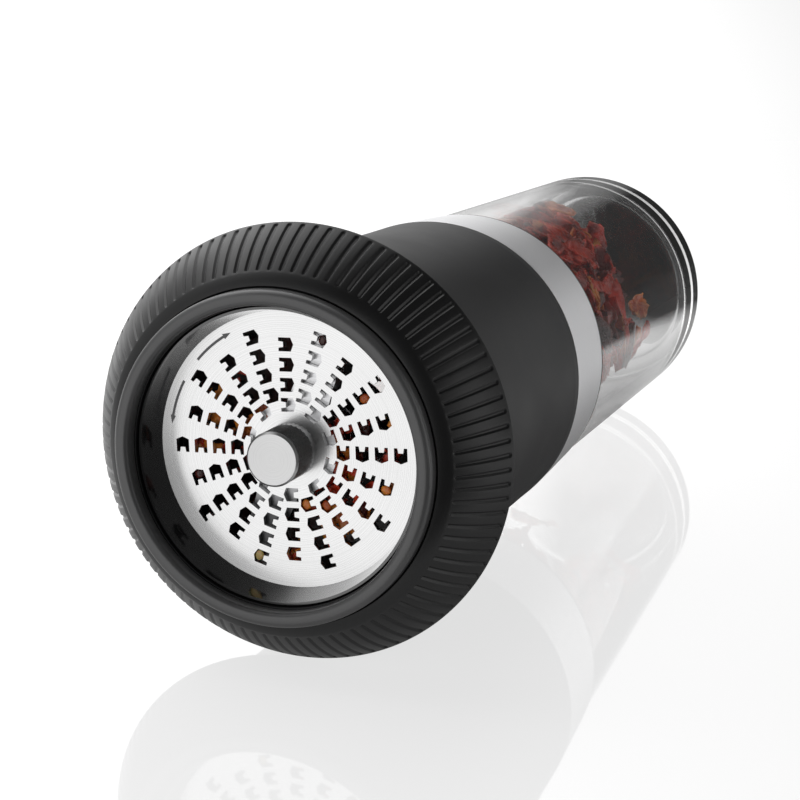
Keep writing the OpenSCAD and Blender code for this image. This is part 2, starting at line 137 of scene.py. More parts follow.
def split_coords(tree: Tree) -> bpy.types.NodeOutputs:
    """Split the piece's coordinates.

    Args:
        tree: The tree that takes the nodes.

    Returns:
        The outputs X, Y and Z.
    """
    split = tree.nodes.new("ShaderNodeSeparateXYZ")
    tree.links.new(object_coords(tree), split.inputs["Vector"])
    return split.outputs


def add_noise(tree: Tree, **values: float) -> bpy.types.Node:
    """Add a noise texture on the piece's coordinates.

    Args:
        tree: The tree that takes the nodes.
        **values: The texture's inputs by name.

    Returns:
        The texture's node.
    """
    texture = tree.nodes.new("ShaderNodeTexNoise")
    tree.links.new(object_coords(tree), texture.inputs["Vector"])
    set_inputs(texture, values)
    return texture


def add_group(tree: Tree, group: Tree, **values: float) -> bpy.types.NodeOutputs:
    """Place a shader group in a material.

    Args:
        tree: The tree that takes the node.
        group: The group's tree.
        **values: The group's inputs by name.

    Returns:
        The group's outputs.
    """
    node = tree.nodes.new("ShaderNodeGroup")
    node.node_tree = group
    set_inputs(node, values)
    return node.outputs


def spread(tree: Tree, source: Socket, low: float, high: float, span: Point = (0.3, 0.7)) -> Socket:
    """Map a mask to a range of values.

    Args:
        tree: The tree that takes the node.
        source: The mask.
        low: Value at the mask's low end.
        high: Value at the mask's high end.
        span: The part of the mask that is used.

    Returns:
        The mapped socket.
    """
    node = tree.nodes.new("ShaderNodeMapRange")
    set_inputs(node, {"From Min": span[0], "From Max": span[1], "To Min": low, "To Max": high})
    tree.links.new(source, node.inputs["Value"])
    return node.outputs["Result"]


def combine(tree: Tree, operation: str, one: Socket, other: Socket) -> Socket:
    """Combine two values that vary.

    Args:
        tree: The tree that takes the node.
        operation: Name of the Math node's operation.
        one: The first value.
        other: The second value.

    Returns:
        The result's socket.
    """
    node = tree.nodes.new("ShaderNodeMath")
    node.operation = operation
    tree.links.new(one, node.inputs[0])
    tree.links.new(other, node.inputs[1])
    return node.outputs[0]


def measure(tree: Tree, operation: str, source: Socket, other: Vector | None = None) -> Socket:
    """Turn a vector into one number, such as its length or its reach along a direction.

    Args:
        tree: The tree that takes the node.
        operation: Name of the Vector Math node's operation.
        source: The vector.
        other: The fixed vector that it is measured against.

    Returns:
        The number's socket.
    """
    node = tree.nodes.new("ShaderNodeVectorMath")
    node.operation = operation
    tree.links.new(source, node.inputs[0])
    if other is not None:
        node.inputs[1].default_value = other
    return node.outputs["Value"]


def blend_colours(tree: Tree, mask: Socket, low: Triple, high: Triple) -> Socket:
    """Mix two colours by a mask.

    Args:
        tree: The tree that takes the node.
        mask: The mask, from 0 to 1.
        low: Colour where the mask is 0.
        high: Colour where the mask is 1.

    Returns:
        The mixed colour's socket.
    """
    node = tree.nodes.new("ShaderNodeMix")
    node.data_type = "RGBA"
    set_inputs(node, {"A": (*low, 1.0), "B": (*high, 1.0)})
    tree.links.new(mask, node.inputs["Factor"])
    return node.outputs["Result"]


def raise_surface(
    tree: Tree, shader: bpy.types.Node, height: Socket, depth: float, strength: float
) -> None:
    """Bump a shader's surface.

    Args:
        tree: The tree that takes the node.
        shader: The Principled node.
        height: The height's socket.
        depth: Height of the relief in metres.
        strength: How much of the relief is used.
    """
    bump = tree.nodes.new("ShaderNodeBump")
    set_inputs(bump, {"Distance": depth, "Strength": strength})
    tree.links.new(height, bump.inputs["Height"])
    tree.links.new(bump.outputs["Normal"], shader.inputs["Normal"])


def clear_shader(tree: Tree) -> Socket:
    """Give a shader that lets everything through."""
    return tree.nodes.new("ShaderNodeBsdfTransparent").outputs["BSDF"]


def show_by(tree: Tree, mask: Socket, low: Socket, high: Socket) -> None:
    """Let a mask choose between two shaders for a material's surface.

    Args:
        tree: The material's tree.
        mask: The mask, from 0 to 1.
        low: Shader where the mask is 0.
        high: Shader where the mask is 1.
    """
    choose = tree.nodes.new("ShaderNodeMixShader")
    tree.links.new(mask, choose.inputs["Fac"])
    tree.links.new(low, choose.inputs[1])
    tree.links.new(high, choose.inputs[2])
    tree.links.new(choose.outputs["Shader"], tree.nodes["Material Output"].inputs["Surface"])


def toned(tone: Triple, share: float) -> Triple:
    """Make a colour darker or paler, up to white."""
    return tuple(min(1.0, share * part) for part in tone)


class ShaderGroups:
    """Shader node groups that several finishes share, each built once."""

    @staticmethod
    def start(
        name: str, inputs: dict[str, float], outputs: tuple[str, ...]
    ) -> tuple[Tree, bpy.types.NodeOutputs, bpy.types.NodeInputs]:
        """Make an empty group with float sockets.

        Args:
            name: The group's name.
            inputs: Input names and their default values.
            outputs: Output names.

        Returns:
            The new tree, the sockets that it is given and the sockets that it fills.
        """
        tree = bpy.data.node_groups.new(name, "ShaderNodeTree")
        for key, value in inputs.items():
            socket = tree.interface.new_socket(name=key, in_out="INPUT", socket_type="NodeSocketFloat")
            socket.default_value = value
        for key in outputs:
            tree.interface.new_socket(name=key, in_out="OUTPUT", socket_type="NodeSocketFloat")
        given = tree.nodes.new("NodeGroupInput").outputs
        filled = tree.nodes.new("NodeGroupOutput").inputs
        return tree, given, filled

    @staticmethod
    @cache
    def grain() -> Tree:
        """Fine moulded grain with broad, faint unevenness.

        Returns:
            A group with Scale in, and Height and Patch out.
        """
        tree, given, filled = ShaderGroups.start("fine_grain", {"Scale": 4000.0}, ("Height", "Patch"))
        fine = add_noise(tree, Detail=3.0)
        broad = add_noise(tree, Scale=60.0, Detail=4.0)
        tree.links.new(given["Scale"], fine.inputs["Scale"])
        tree.links.new(fine.outputs["Fac"], filled["Height"])
        tree.links.new(broad.outputs["Fac"], filled["Patch"])
        return tree

    @staticmethod
    @cache
    def worked_lines() -> Tree:
        """Fine lines left by turning or brushing.

        The inputs Side, Face and Across are weights that choose whether the lines follow each other along
        the axis, along the radius, or along X.

        Returns:
            A group with Density and those weights in, and Height and Patch out.
        """
        inputs = {"Density": 6000.0, **{run.value: 0.0 for run in LineRun}}
        tree, given, filled = ShaderGroups.start("worked_lines", inputs, ("Height", "Patch"))
        flat = tree.nodes.new("ShaderNodeVectorMath")
        flat.operation = "MULTIPLY"
        flat.inputs[1].default_value = (1.0, 1.0, 0.0)
        tree.links.new(object_coords(tree), flat.inputs[0])
        split = split_coords(tree)
        runs = {
            LineRun.ROUND_SIDE: split["Z"],
            LineRun.ROUND_FACE: measure(tree, "LENGTH", flat.outputs["Vector"]),
            LineRun.ACROSS: split["X"],
        }
        total = None
        for run, source in runs.items():
            part = combine(tree, "MULTIPLY", source, given[run.value])
            total = combine(tree, "ADD", total, part) if total else part
        lines = tree.nodes.new("ShaderNodeTexNoise")
        lines.noise_dimensions = "1D"
        set_inputs(lines, {"Scale": 1.0, "Detail": 3.0})
        tree.links.new(combine(tree, "MULTIPLY", total, given["Density"]), lines.inputs["W"])
        broad = add_noise(tree, Scale=90.0, Detail=3.0)
        tree.links.new(lines.outputs["Fac"], filled["Height"])
        tree.links.new(broad.outputs["Fac"], filled["Patch"])
        return tree


# Finishes


@dataclass(frozen=True)
class Finish:
    """A finish of the part, whose material is built once."""

    name: str

    @cache
    def material(self) -> bpy.types.Material:
        """Give the finish's material.

        Returns:
            The finished material.
        """
        material, shader = new_material(self.name)
        self.shade(material.node_tree, shader)
        return material

    def shade(self, tree: Tree, shader: bpy.types.Node) -> None:
        """Set up the material's nodes.

        Args:
            tree: The material's tree.
            shader: Its Principled node.
        """
        raise NotImplementedError


@dataclass(frozen=True)
class Moulded(Finish):
    """Moulded plastic or rubber with a fine grain."""

    tone: Triple
    roughness: Point
    grain_scale: float = 4000.0
    grain_depth: float = 0.02 * MM
    grain_strength: float = 0.25
    patch_tones: Point = (0.8, 1.2)
    specular: float = 0.5
    coat: float = 0.0
    coat_roughness: float = 0.05

    def shade(self, tree: Tree, shader: bpy.types.Node) -> None:
        """Set up the material's nodes.

        Args:
            tree: The material's tree.
            shader: Its Principled node.
        """
        grain = add_group(tree, ShaderGroups.grain(), Scale=self.grain_scale)
        dark, pale = (toned(self.tone, share) for share in self.patch_tones)
        mask = spread(tree, grain["Patch"], 0.0, 1.0)
        tree.links.new(blend_colours(tree, mask, dark, pale), shader.inputs["Base Color"])
        tree.links.new(spread(tree, grain["Patch"], *self.roughness), shader.inputs["Roughness"])
        raise_surface(tree, shader, grain["Height"], self.grain_depth, self.grain_strength)
        coat = {"Coat Weight": self.coat, "Coat Roughness": self.coat_roughness}
        set_inputs(shader, {"Specular IOR Level": self.specular, **coat})


@dataclass(frozen=True)
class WorkedSteel(Finish):
    """Steel with fine turned or brushed lines, and on some pieces painted shade that darkens one end."""

    tone: Triple
    roughness: Point
    lines: LineRun
    density: float = 9000.0
    line_depth: float = 0.006 * MM
    line_strength: float = 0.3
    line_tones: Point = (0.9, 1.06)
    # Painted shade at one end: how dark it is, how much of the fine lines shows in it, and where along X it
    # fades out.
    painted_shade_tone: float = 0.12
    painted_shade_lines: float = 0.85
    painted_shade_x: Point | None = None

    def shade(self, tree: Tree, shader: bpy.types.Node) -> None:
        """Set up the material's nodes.

        Args:
            tree: The material's tree.
            shader: Its Principled node.
        """
        weights = {run.value: float(run is self.lines) for run in LineRun}
        worked = add_group(tree, ShaderGroups.worked_lines(), Density=self.density, **weights)
        dark, pale = (toned(self.tone, share) for share in self.line_tones)
        # Painted shade: the steel turns dark towards the low-X end over the given span, standing in for
        # shade on that arm of the blade bar.
        if self.painted_shade_x:
            dark = toned(self.tone, self.painted_shade_tone)
            unshaded = spread(tree, split_coords(tree)["X"], 0.0, 1.0, self.painted_shade_x)
            mask = combine(tree, "MULTIPLY", unshaded, spread(tree, worked["Height"], self.painted_shade_lines, 1.0))
        else:
            mask = spread(tree, worked["Height"], 0.0, 1.0)
        tree.links.new(blend_colours(tree, mask, dark, pale), shader.inputs["Base Color"])
        tree.links.new(spread(tree, worked["Patch"], *self.roughness), shader.inputs["Roughness"])
        raise_surface(tree, shader, worked["Height"], self.line_depth, self.line_strength)
        shader.inputs["Metallic"].default_value = 1.0


@dataclass(frozen=True)
class ClearAcrylic(Finish):
    """Clear polished acrylic, which lets lamps and soft light straight through."""

    tint: Triple = (1.0, 1.0, 1.0)
    ior: float = 1.49
    roughness: Point = (0.0, 0.03)

    def shade(self, tree: Tree, shader: bpy.types.Node) -> None:
        """Set up the material's nodes.

        Args:
            tree: The material's tree.
            shader: Its Principled node.
        """
        grain = add_group(tree, ShaderGroups.grain())
        tree.links.new(spread(tree, grain["Patch"], *self.roughness), shader.inputs["Roughness"])
        set_inputs(shader, {"Base Color": (*self.tint, 1.0), "Transmission Weight": 1.0, "IOR": self.ior})
        rays = tree.nodes.new("ShaderNodeLightPath").outputs
        passing = combine(tree, "MAXIMUM", rays["Is Shadow Ray"], rays["Is Diffuse Ray"])
        show_by(tree, passing, shader.outputs["BSDF"], clear_shader(tree))


@dataclass(frozen=True)
class DriedSkin(Finish):
    """Dried chilli skin: leathery, blotched and slightly glossy."""

    dark: Triple
    bright: Triple
    roughness: Point = (0.17, 0.42)
    blotch_scale: float = 260.0
    blotch_detail: float = 5.0
    blotch_span: Point = (0.36, 0.62)
    wrinkle_ratio: float = 4.0
    wrinkle_swirl: float = 1.5
    wrinkle_depth: float = 0.25 * MM
    wrinkle_strength: float = 0.7
    soak: float = 0.4
    soak_radius: Triple = (0.0015, 0.0004, 0.0002)

    def shade(self, tree: Tree, shader: bpy.types.Node) -> None:
        """Set up the material's nodes.

        Args:
            tree: The material's tree.
            shader: Its Principled node.
        """
        blotch = add_noise(tree, Scale=self.blotch_scale, Detail=self.blotch_detail).outputs["Fac"]
        wrinkle_scale = self.wrinkle_ratio * self.blotch_scale
        wrinkle = add_noise(tree, Scale=wrinkle_scale, Distortion=self.wrinkle_swirl).outputs["Fac"]
        mask = spread(tree, blotch, 0.0, 1.0, self.blotch_span)
        tree.links.new(blend_colours(tree, mask, self.dark, self.bright), shader.inputs["Base Color"])
        tree.links.new(spread(tree, wrinkle, *self.roughness), shader.inputs["Roughness"])
        raise_surface(tree, shader, wrinkle, self.wrinkle_depth, self.wrinkle_strength)
        set_inputs(shader, {"Subsurface Weight": self.soak, "Subsurface Radius": self.soak_radius})
        shader.inputs["Subsurface Scale"].default_value = 1.0


@dataclass(frozen=True)
class Finishes:
    """The finishes of the whole part."""

    soft_touch: Moulded = Moulded(
        "soft_touch",
        (0.03, 0.03, 0.031),
        (0.48, 0.58),
        grain_scale=5200.0,
        grain_strength=0.3,
        specular=0.3,
    )
    grip_rubber: Moulded = Moulded("grip_rubber", (0.007, 0.007, 0.0074), (0.32, 0.42), grain_scale=4200.0)
    satin_black: Moulded = Moulded(
        "satin_black",
        (0.075, 0.075, 0.076),
        (0.34, 0.42),
        grain_scale=6000.0,
        grain_depth=0.01 * MM,
        grain_strength=0.2,
        specular=0.8,
    )
    gloss_black: Moulded = Moulded(
        "gloss_black",
        (0.014, 0.014, 0.0145),
        (0.12, 0.18),
        grain_scale=1500.0,
        grain_depth=0.003 * MM,
        grain_strength=0.05,
        specular=0.9,
        coat=1.0,
        coat_roughness=0.06,
    )
    inner_plastic: Moulded = Moulded("inner_plastic", (0.012, 0.012, 0.013), (0.4, 0.55))
    seal_rubber: Moulded = Moulded("seal_rubber", (0.006, 0.006, 0.006), (0.5, 0.65))
    glide_plastic: Moulded = Moulded("glide_plastic", (0.55, 0.53, 0.48), (0.3, 0.4))
    print_ink: Moulded = Moulded("print_ink", (0.2, 0.2, 0.205), (0.4, 0.5))
    band_steel: WorkedSteel = WorkedSteel(
        "band_steel", (0.84, 0.84, 0.85), (0.5, 0.57), LineRun.ROUND_SIDE, density=7000.0
    )
    disc_steel: WorkedSteel = WorkedSteel(
        "disc_steel",
        (0.76, 0.76, 0.76),
        (0.2, 0.26),
        LineRun.ROUND_FACE,
        line_depth=0.001 * MM,
        line_strength=0.08,
    )
    knob_steel: WorkedSteel = WorkedSteel("knob_steel", (0.63, 0.63, 0.63), (0.3, 0.38), LineRun.ROUND_FACE)
    # A darker copy of the knob's steel for its knurled side: painted shade.
    shaded_knurl_steel: WorkedSteel = WorkedSteel("shaded_knurl_steel", (0.4, 0.4, 0.405), (0.3, 0.4), LineRun.ROUND_SIDE)
    blade_steel: WorkedSteel = WorkedSteel(
        "blade_steel",
        (0.66, 0.66, 0.67),
        (0.28, 0.38),
        LineRun.ACROSS,
        density=4000.0,
        # Painted shade on the blade bar's arm towards negative X.
        painted_shade_x=(-9.0 * MM, -3.0 * MM),
    )
    plain_steel: WorkedSteel = WorkedSteel(
        "plain_steel", (0.55, 0.55, 0.57), (0.22, 0.34), LineRun.ROUND_FACE
    )
    clear_acrylic: ClearAcrylic = ClearAcrylic("clear_acrylic")
    chilli_red: DriedSkin = DriedSkin("chilli_red", (0.14, 0.007, 0.004), (0.78, 0.055, 0.016))
    chilli_orange: DriedSkin = DriedSkin("chilli_orange", (0.36, 0.045, 0.009), (0.88, 0.27, 0.035))
    chilli_dark: DriedSkin = DriedSkin("chilli_dark", (0.025, 0.005, 0.004), (0.17, 0.02, 0.012))
    chilli_seed: DriedSkin = DriedSkin(
        "chilli_seed", (0.42, 0.25, 0.07), (0.7, 0.5, 0.2), wrinkle_depth=0.05 * MM
    )


# Mesh making


def add_object(name: str, shape: Shape, smooth_angle: float = 35.0) -> bpy.types.Object:
    """Turn a bmesh into an object at the origin.

    Args:
        name: Name of the object and its mesh.
        shape: The bmesh, which is freed.
        smooth_angle: Edges sharper than this, in degrees, stay sharp.

    Returns:
        The linked object.
    """
    mesh = bpy.data.meshes.new(name)
    shape.to_mesh(mesh)
    shape.free()
    made = bpy.data.objects.new(name, mesh)
    bpy.context.scene.collection.objects.link(made)
    mesh.shade_smooth()
    mesh.set_sharp_from_angle(angle=math.radians(smooth_angle))
    return made


def polar(radius: float, angle: float, height: float) -> Vector:
    """Give a point by its distance from the axis, its angle in radians and its height."""
    return Vector((radius * math.cos(angle), radius * math.sin(angle), height))


def arc(centre: Point, radius: float, start: float, end: float, steps: int) -> list[Point]:
    """Points along an arc in the section plane.

    Args:
        centre: Centre of the arc.
        radius: Radius of the arc.
        start: First angle in degrees.
        end: Last angle in degrees.
        steps: Number of straight steps.

    Returns:
        The points, ends included.
    """
    angles = [math.radians(start + (end - start) * i / steps) for i in range(steps + 1)]
    return [(centre[0] + radius * math.cos(a), centre[1] + radius * math.sin(a)) for a in angles]


def bulged(start: Point, end: Point, height: float, shares: list[float]) -> list[Point]:
    """Points along a shallow arc between two points.

    Args:
        start: First point.
        end: Last point.
        height: How far the arc stands to the right of its chord.
        shares: Where the points lie along the chord, from 0 to 1.

    Returns:
        The points.
    """
    low, high = Vector(start), Vector(end)
    run = high - low
    side = Vector((run.y, -run.x)).normalized()
    return [tuple(low + run * t + side * (4 * height * t * (1 - t))) for t in shares]


def supported(outline: list[Point], reach: float, closed: bool = True) -> list[Point]:
    """Add points near both ends of an outline's long stretches, so that shading stays flat between them.

    Args:
        outline: The outline's points.
        reach: Distance of an added point from its corner.
        closed: Whether the last point joins the first.

    Returns:
        The outline with the added points.
    """
    points = []
    for start, end in zip(outline, outline[1:] + outline[:1]):
        points.append(start)
        run = Vector(end) - Vector(start)
        if run.length > 3 * reach:
            step = run.normalized() * reach
            points.append(tuple(Vector(start) + step))
            points.append(tuple(Vector(end) - step))
    if closed:
        return points
    return points[: points.index(outline[-1]) + 1]


def sweep(
    shape: Shape,
    geom: list[bmesh.types.BMVert | bmesh.types.BMEdge],
    angle: float,
    steps: int,
    rise: float = 0.0,
    use_merge: bool = False,
) -> None:
    """Spin points and edges round the axis.

    Args:
        shape: The bmesh.
        geom: Its points and edges that are spun.
        angle: How far they turn, in radians.
        steps: Number of steps.
        rise: How far each step climbs along the axis.
        use_merge: Whether the last step joins the first.
    """
    bmesh.ops.spin(
        shape,
        geom=geom,
        cent=(0.0, 0.0, 0.0),
        axis=(0.0, 0.0, 1.0),
        dvec=(0.0, 0.0, rise),
        angle=angle,
        steps=steps,
        use_merge=use_merge,
    )


def turn_outline(outline: list[Point], segments: int = SEGMENTS, closed: bool = True) -> Shape:
    """Spin an outline of radii and heights round the axis.

    Args:
        outline: The outline's points.
        segments: Steps round the axis.
        closed: Whether the last point joins the first.

    Returns:
        The turned bmesh, with its normals facing out.
    """
    turned = bmesh.new()
    verts = [turned.verts.new((r, 0.0, z)) for r, z in outline]
    pairs = list(zip(verts, verts[1:]))
    if closed:
        pairs.append((verts[-1], verts[0]))
    edges = [turned.edges.new(pair) for pair in pairs]
    sweep(turned, verts + edges, TURN, segments, use_merge=True)
    bmesh.ops.remove_doubles(turned, verts=turned.verts, dist=MERGE_REACH)
    bmesh.ops.recalc_face_normals(turned, faces=turned.faces)
    return turned


def round_edges(shape: Shape, width: float, least_angle: float = 30.0, segments: int = 3) -> None:
    """Round the sharp edges of a shape.

    Args:
        shape: The bmesh.
        width: Width of the rounding in metres.
        least_angle: Edges that turn less than this, in degrees, stay as they are.
        segments: Steps across the rounding.
    """
    least = math.radians(least_angle)
    sharp = [e for e in shape.edges if len(e.link_faces) == 2 and e.calc_face_angle() > least]
    bmesh.ops.bevel(
        shape,
        geom=sharp,
        offset=width,
        offset_type="OFFSET",
        affect="EDGES",
        segments=segments,
        profile=0.5,
        material=-1,
        clamp_overlap=True,
    )


def dress(piece: bpy.types.Object, material: bpy.types.Material) -> None:
    """Give a piece one material.

    Args:
        piece: The object.
        material: Its material.
    """
    if piece.material_slots:
        for holder in piece.material_slots:
            holder.material = material
        return
    piece.data.materials.append(material)


# Sub-assemblies


@dataclass
class Look:
    """A sub-assembly whose pieces wear the part's finishes."""

    finishes: Finishes

    def add_piece(
        self,
        name: str,
        shape: Shape,
        body: Body,
        finish: str,
        *replaced: str,
        slot: str = "",
        smooth_angle: float = 35.0,
    ) -> bpy.types.Object:
        """Turn a bmesh into a dressed piece and set it on its body.

        Args:
            name: Name of the piece.
            shape: Its bmesh, which is freed.
            body: The body that it rides on.
            finish: Name of its finish.
            *replaced: Nodes that it stands for.
            slot: Name of a material slot where that differs from the finish's; not used.
            smooth_angle: Edges sharper than this, in degrees, stay sharp.

        Returns:
            The piece's object.
        """
        piece = add_object(name, shape, smooth_angle)
        dress(piece, getattr(self.finishes, finish).material())
        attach(piece, body.value)
        if replaced:
            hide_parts(*replaced)
        LOG.info("piece %s on %s", piece.name, body.value)
        return piece


@dataclass
class ContainerLook(Look):
    """Clear cup with a thick closed end and a shallow dish in it."""

    neck_r: float = 22.85 * MM
    shoulder_z: float = 87.35 * MM
    end_r: float = 23.68 * MM
    cavity_r: float = 20.55 * MM
    cavity_end_r: float = 20.02 * MM
    cavity_round: float = 2.4 * MM
    end_thickness: float = 7.0 * MM
    end_round: float = 0.6 * MM
    round_steps: int = 8
    dish_rim: float = 6.0 * MM
    dish_depth: float = 0.8 * MM
    edge: float = 0.25 * MM
    edge_support: float = 3.0

    def outline(self) -> list[Point]:
        """Section of the cup, from the cavity's end round to the dish.

        Returns:
            Radii and heights.
        """
        low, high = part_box("container")
        cavity_top = high.z - self.end_thickness
        corner = (self.cavity_end_r - self.cavity_round, cavity_top - self.cavity_round)
        outer = (self.end_r - self.end_round, high.z - self.end_round)
        dish_r = self.end_r - self.dish_rim
        return [
            (0.0, cavity_top),
            *arc(corner, self.cavity_round, 90.0, 0.0, self.round_steps),
            (self.cavity_r, low.z),
            (self.neck_r, low.z),
            (self.neck_r, self.shoulder_z),
            (high.x, self.shoulder_z),
            *arc(outer, self.end_round, 0.0, 90.0, self.round_steps),
            (dish_r, high.z),
            (dish_r - self.dish_depth, high.z - self.dish_depth),
            (0.0, high.z - self.dish_depth),
        ]

    def build(self) -> bpy.types.Object:
        """Make the cup.

        Returns:
            The cup's object.
        """
        outline = supported(self.outline(), self.edge_support * self.edge, closed=False)
        cup = turn_outline(outline, closed=False)
        round_edges(cup, self.edge)
        return self.add_piece("clear_cup", cup, Body.CONTAINER, "clear_acrylic", "container")


@dataclass
class BodyLook(Look):
    """Soft-touch body and the steel band above it."""

    bow: float = 0.45 * MM
    side_steps: int = 24
    shell_wall: float = 1.87 * MM
    low_edge: float = 0.5 * MM
    flare: float = 2.13 * MM
    band_taper: float = 0.92 * MM
    band_wall: float = 0.6 * MM
    band_edge: float = 0.18 * MM
    band_support: float = 2.0
    bearing_r: float = 23.0 * MM
    bearing_z: float = 23.5 * MM

    def shell(self) -> bpy.types.Object:
        """Make the body's shell with its bowed side.

        Returns:
            The shell's object.
        """
        low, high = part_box("body_shell")
        top_r = high.x - self.flare
        bore_r = top_r - self.shell_wall
        shares = [i / self.side_steps for i in range(self.side_steps + 1)]
        side = bulged((high.x, low.z + self.low_edge), (top_r, high.z - self.band_edge), -self.bow, shares)
        outline = [
            (self.bearing_r, low.z),
            (high.x - self.low_edge, low.z),
            *side,
            (top_r - self.band_edge, high.z),
            (bore_r, high.z),
            (bore_r, self.bearing_z),
            (self.bearing_r, self.bearing_z),
        ]
        shell = turn_outline(outline)
        return self.add_piece("soft_shell", shell, Body.BODY, "soft_touch", "body_shell", smooth_angle=50.0)

    def band(self) -> bpy.types.Object:
        """Make the brushed band with softened edges.

        Returns:
            The band's object.
        """
        low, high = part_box("steel_band")
        top_r = high.x - self.band_taper
        outline = [
            (high.x - self.band_wall, low.z),
            (high.x, low.z),
            (top_r, high.z),
            (top_r - self.band_wall, high.z),
        ]
        ring = turn_outline(supported(outline, self.band_support * self.band_edge))
        round_edges(ring, self.band_edge)
        return self.add_piece("brushed_band", ring, Body.BODY, "band_steel", "steel_band")

    def build(self) -> None:
        """Make the body's pieces."""
        self.shell()
        self.band()


@dataclass
class RingLook(Look):
    """Grooved grip ring and the satin lip in front of it."""

    groove_count: int = 96
    columns: int = 5
    groove_columns: int = 2
    groove_depth: float = 0.25 * MM
    groove_wall: float = 0.3 * MM
    groove_edge: float = 0.08 * MM
    groove_margin: float = 0.4 * MM
    groove_half: float = 0.38 * MM
    groove_tip: float = 0.3
    end_slack: float = 0.01
    end_rows: tuple[float, ...] = (0.0, 0.12, 0.35, 0.7, 1.1)
    flank_steps: int = 8
    flank_bulge: float = 0.5 * MM
    flank_start: Point = (26.8 * MM, 3.3 * MM)
    band_start: Point = (25.1 * MM, 2.3 * MM)
    valley_r: float = 24.85 * MM
    valley_z: float = 2.65 * MM
    bore_r: float = 24.05 * MM
    rim_h: float = 0.9 * MM
    rim_taper: float = 0.35 * MM
    back_r: float = 30.78 * MM
    back_depth: float = 1.05 * MM
    opening_r: float = 22.5 * MM
    lip_crown: float = 1.0 * MM
    lip_steps: int = 10
    lip_land: float = 0.8 * MM
    lip_edge: float = 0.28 * MM
    lip_support: float = 1.5

    def __post_init__(self) -> None:
        """Work out the flank's ends, as radii and heights, and the ring's step round the axis."""
        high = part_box("grip_ring")[1]
        self.start = Vector(self.flank_start)
        self.end = Vector((high.x, high.z - self.rim_h))
        self.step = TURN / (self.groove_count * self.columns)
        self.middle = self.groove_columns // 2

    def flank_shares(self) -> list[float]:
        """Where the flank's outline has points, which lie closer at the ends of its grooves.

        Returns:
            Shares of the flank's length, from 0 to 1.
        """
        length = (self.end - self.start).length
        ends = [(self.groove_margin + row * self.groove_half) / length for row in self.end_rows]
        even = [i / self.flank_steps for i in range(1, self.flank_steps)]
        middle = [t for t in even if ends[-1] < t < 1 - ends[-1]]
        return [0.0, *ends, *middle, *[1 - t for t in reversed(ends)], 1.0]

    def from_end(self, place: Vector) -> float:
        """Distance along the flank from a groove's nearer end.

        Args:
            place: A point on the ring.

        Returns:
            The distance in metres, negative off the flank.
        """
        length = (self.end - self.start).length
        along = (self.end - self.start) / length
        offset = Vector((math.hypot(place.x, place.y), place.z)) - self.start
        if offset.x * along.y - offset.y * along.x < -self.groove_edge:
            return -1.0
        reach = offset.dot(along)
        return min(reach, length - reach) - self.groove_margin

    def narrow_ends(self, ring: Shape) -> None:
        """Draw the sides of each groove together at its ends, so that these are round.

        Args:
            ring: The turned ring.
        """
        for vert in ring.verts:
            column = (round(math.atan2(vert.co.y, vert.co.x) / self.step) + self.middle) % self.columns
            inset = self.from_end(vert.co) / self.groove_half
            if column not in (0, self.groove_columns) or not -self.end_slack < inset < 1.0:
                continue
            share = max(self.groove_tip, math.sqrt(max(0.0, 1.0 - (1.0 - inset) ** 2)))
            way = 1 if column == 0 else -1
            vert.co = Matrix.Rotation(way * (1.0 - share) * self.middle * self.step, 3, "Z") @ vert.co

    def sink_grooves(self, ring: Shape) -> None:
        """Sink the faces between the grooves' sides.

        Args:
            ring: The turned ring.
        """
        sunk = []
        for face in ring.faces:
            place = face.calc_center_median()
            column = (math.floor(math.atan2(place.y, place.x) / self.step) + self.middle) % self.columns
            if column < self.groove_columns and self.from_end(place) > 0.0:
                sunk.append(face)
        bmesh.ops.inset_region(
            ring,
            faces=sunk,
            thickness=self.groove_wall,
            depth=-self.groove_depth,
            use_even_offset=True,
            use_boundary=True,
        )

    def grip(self) -> bpy.types.Object:
        """Make the ring: turn its section, round the grooves' ends, then sink the grooves.

        Returns:
            The ring's object.
        """
        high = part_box("grip_ring")[1]
        outline = [
            (self.bore_r, self.valley_z),
            (self.valley_r, self.valley_z),
            self.band_start,
            *bulged(self.flank_start, tuple(self.end), self.flank_bulge, self.flank_shares()),
            (high.x - self.rim_taper, high.z),
            (self.back_r, high.z),
            (self.back_r, high.z - self.back_depth),
            (self.bore_r, high.z - self.back_depth),
        ]
        ring = turn_outline(outline, self.groove_count * self.columns)
        self.narrow_ends(ring)
        self.sink_grooves(ring)
        round_edges(ring, self.groove_edge, least_angle=25.0, segments=2)
        return self.add_piece(
            "grooved_ring", ring, Body.RING, "grip_rubber", "grip_ring", smooth_angle=40.0
        )

    def lip(self) -> bpy.types.Object:
        """Make the rounded lip.

        Returns:
            The lip's object.
        """
        low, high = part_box("bezel_ring")
        crown = (high.x - self.lip_crown, low.z + self.lip_crown)
        land_r = crown[0] - self.lip_land
        outline = [
            (self.opening_r, high.z),
            (self.opening_r, low.z + (land_r - self.opening_r)),
            (land_r, low.z),
            *arc(crown, self.lip_crown, -90.0, 0.0, self.lip_steps),
            (high.x, high.z),
        ]
        ring = turn_outline(supported(outline, self.lip_support * self.lip_edge))
        round_edges(ring, self.lip_edge)
        return self.add_piece("satin_lip", ring, Body.RING, "satin_black", "bezel_ring")

    def build(self) -> None:
        """Make the ring's pieces."""
        self.grip()
        self.lip()


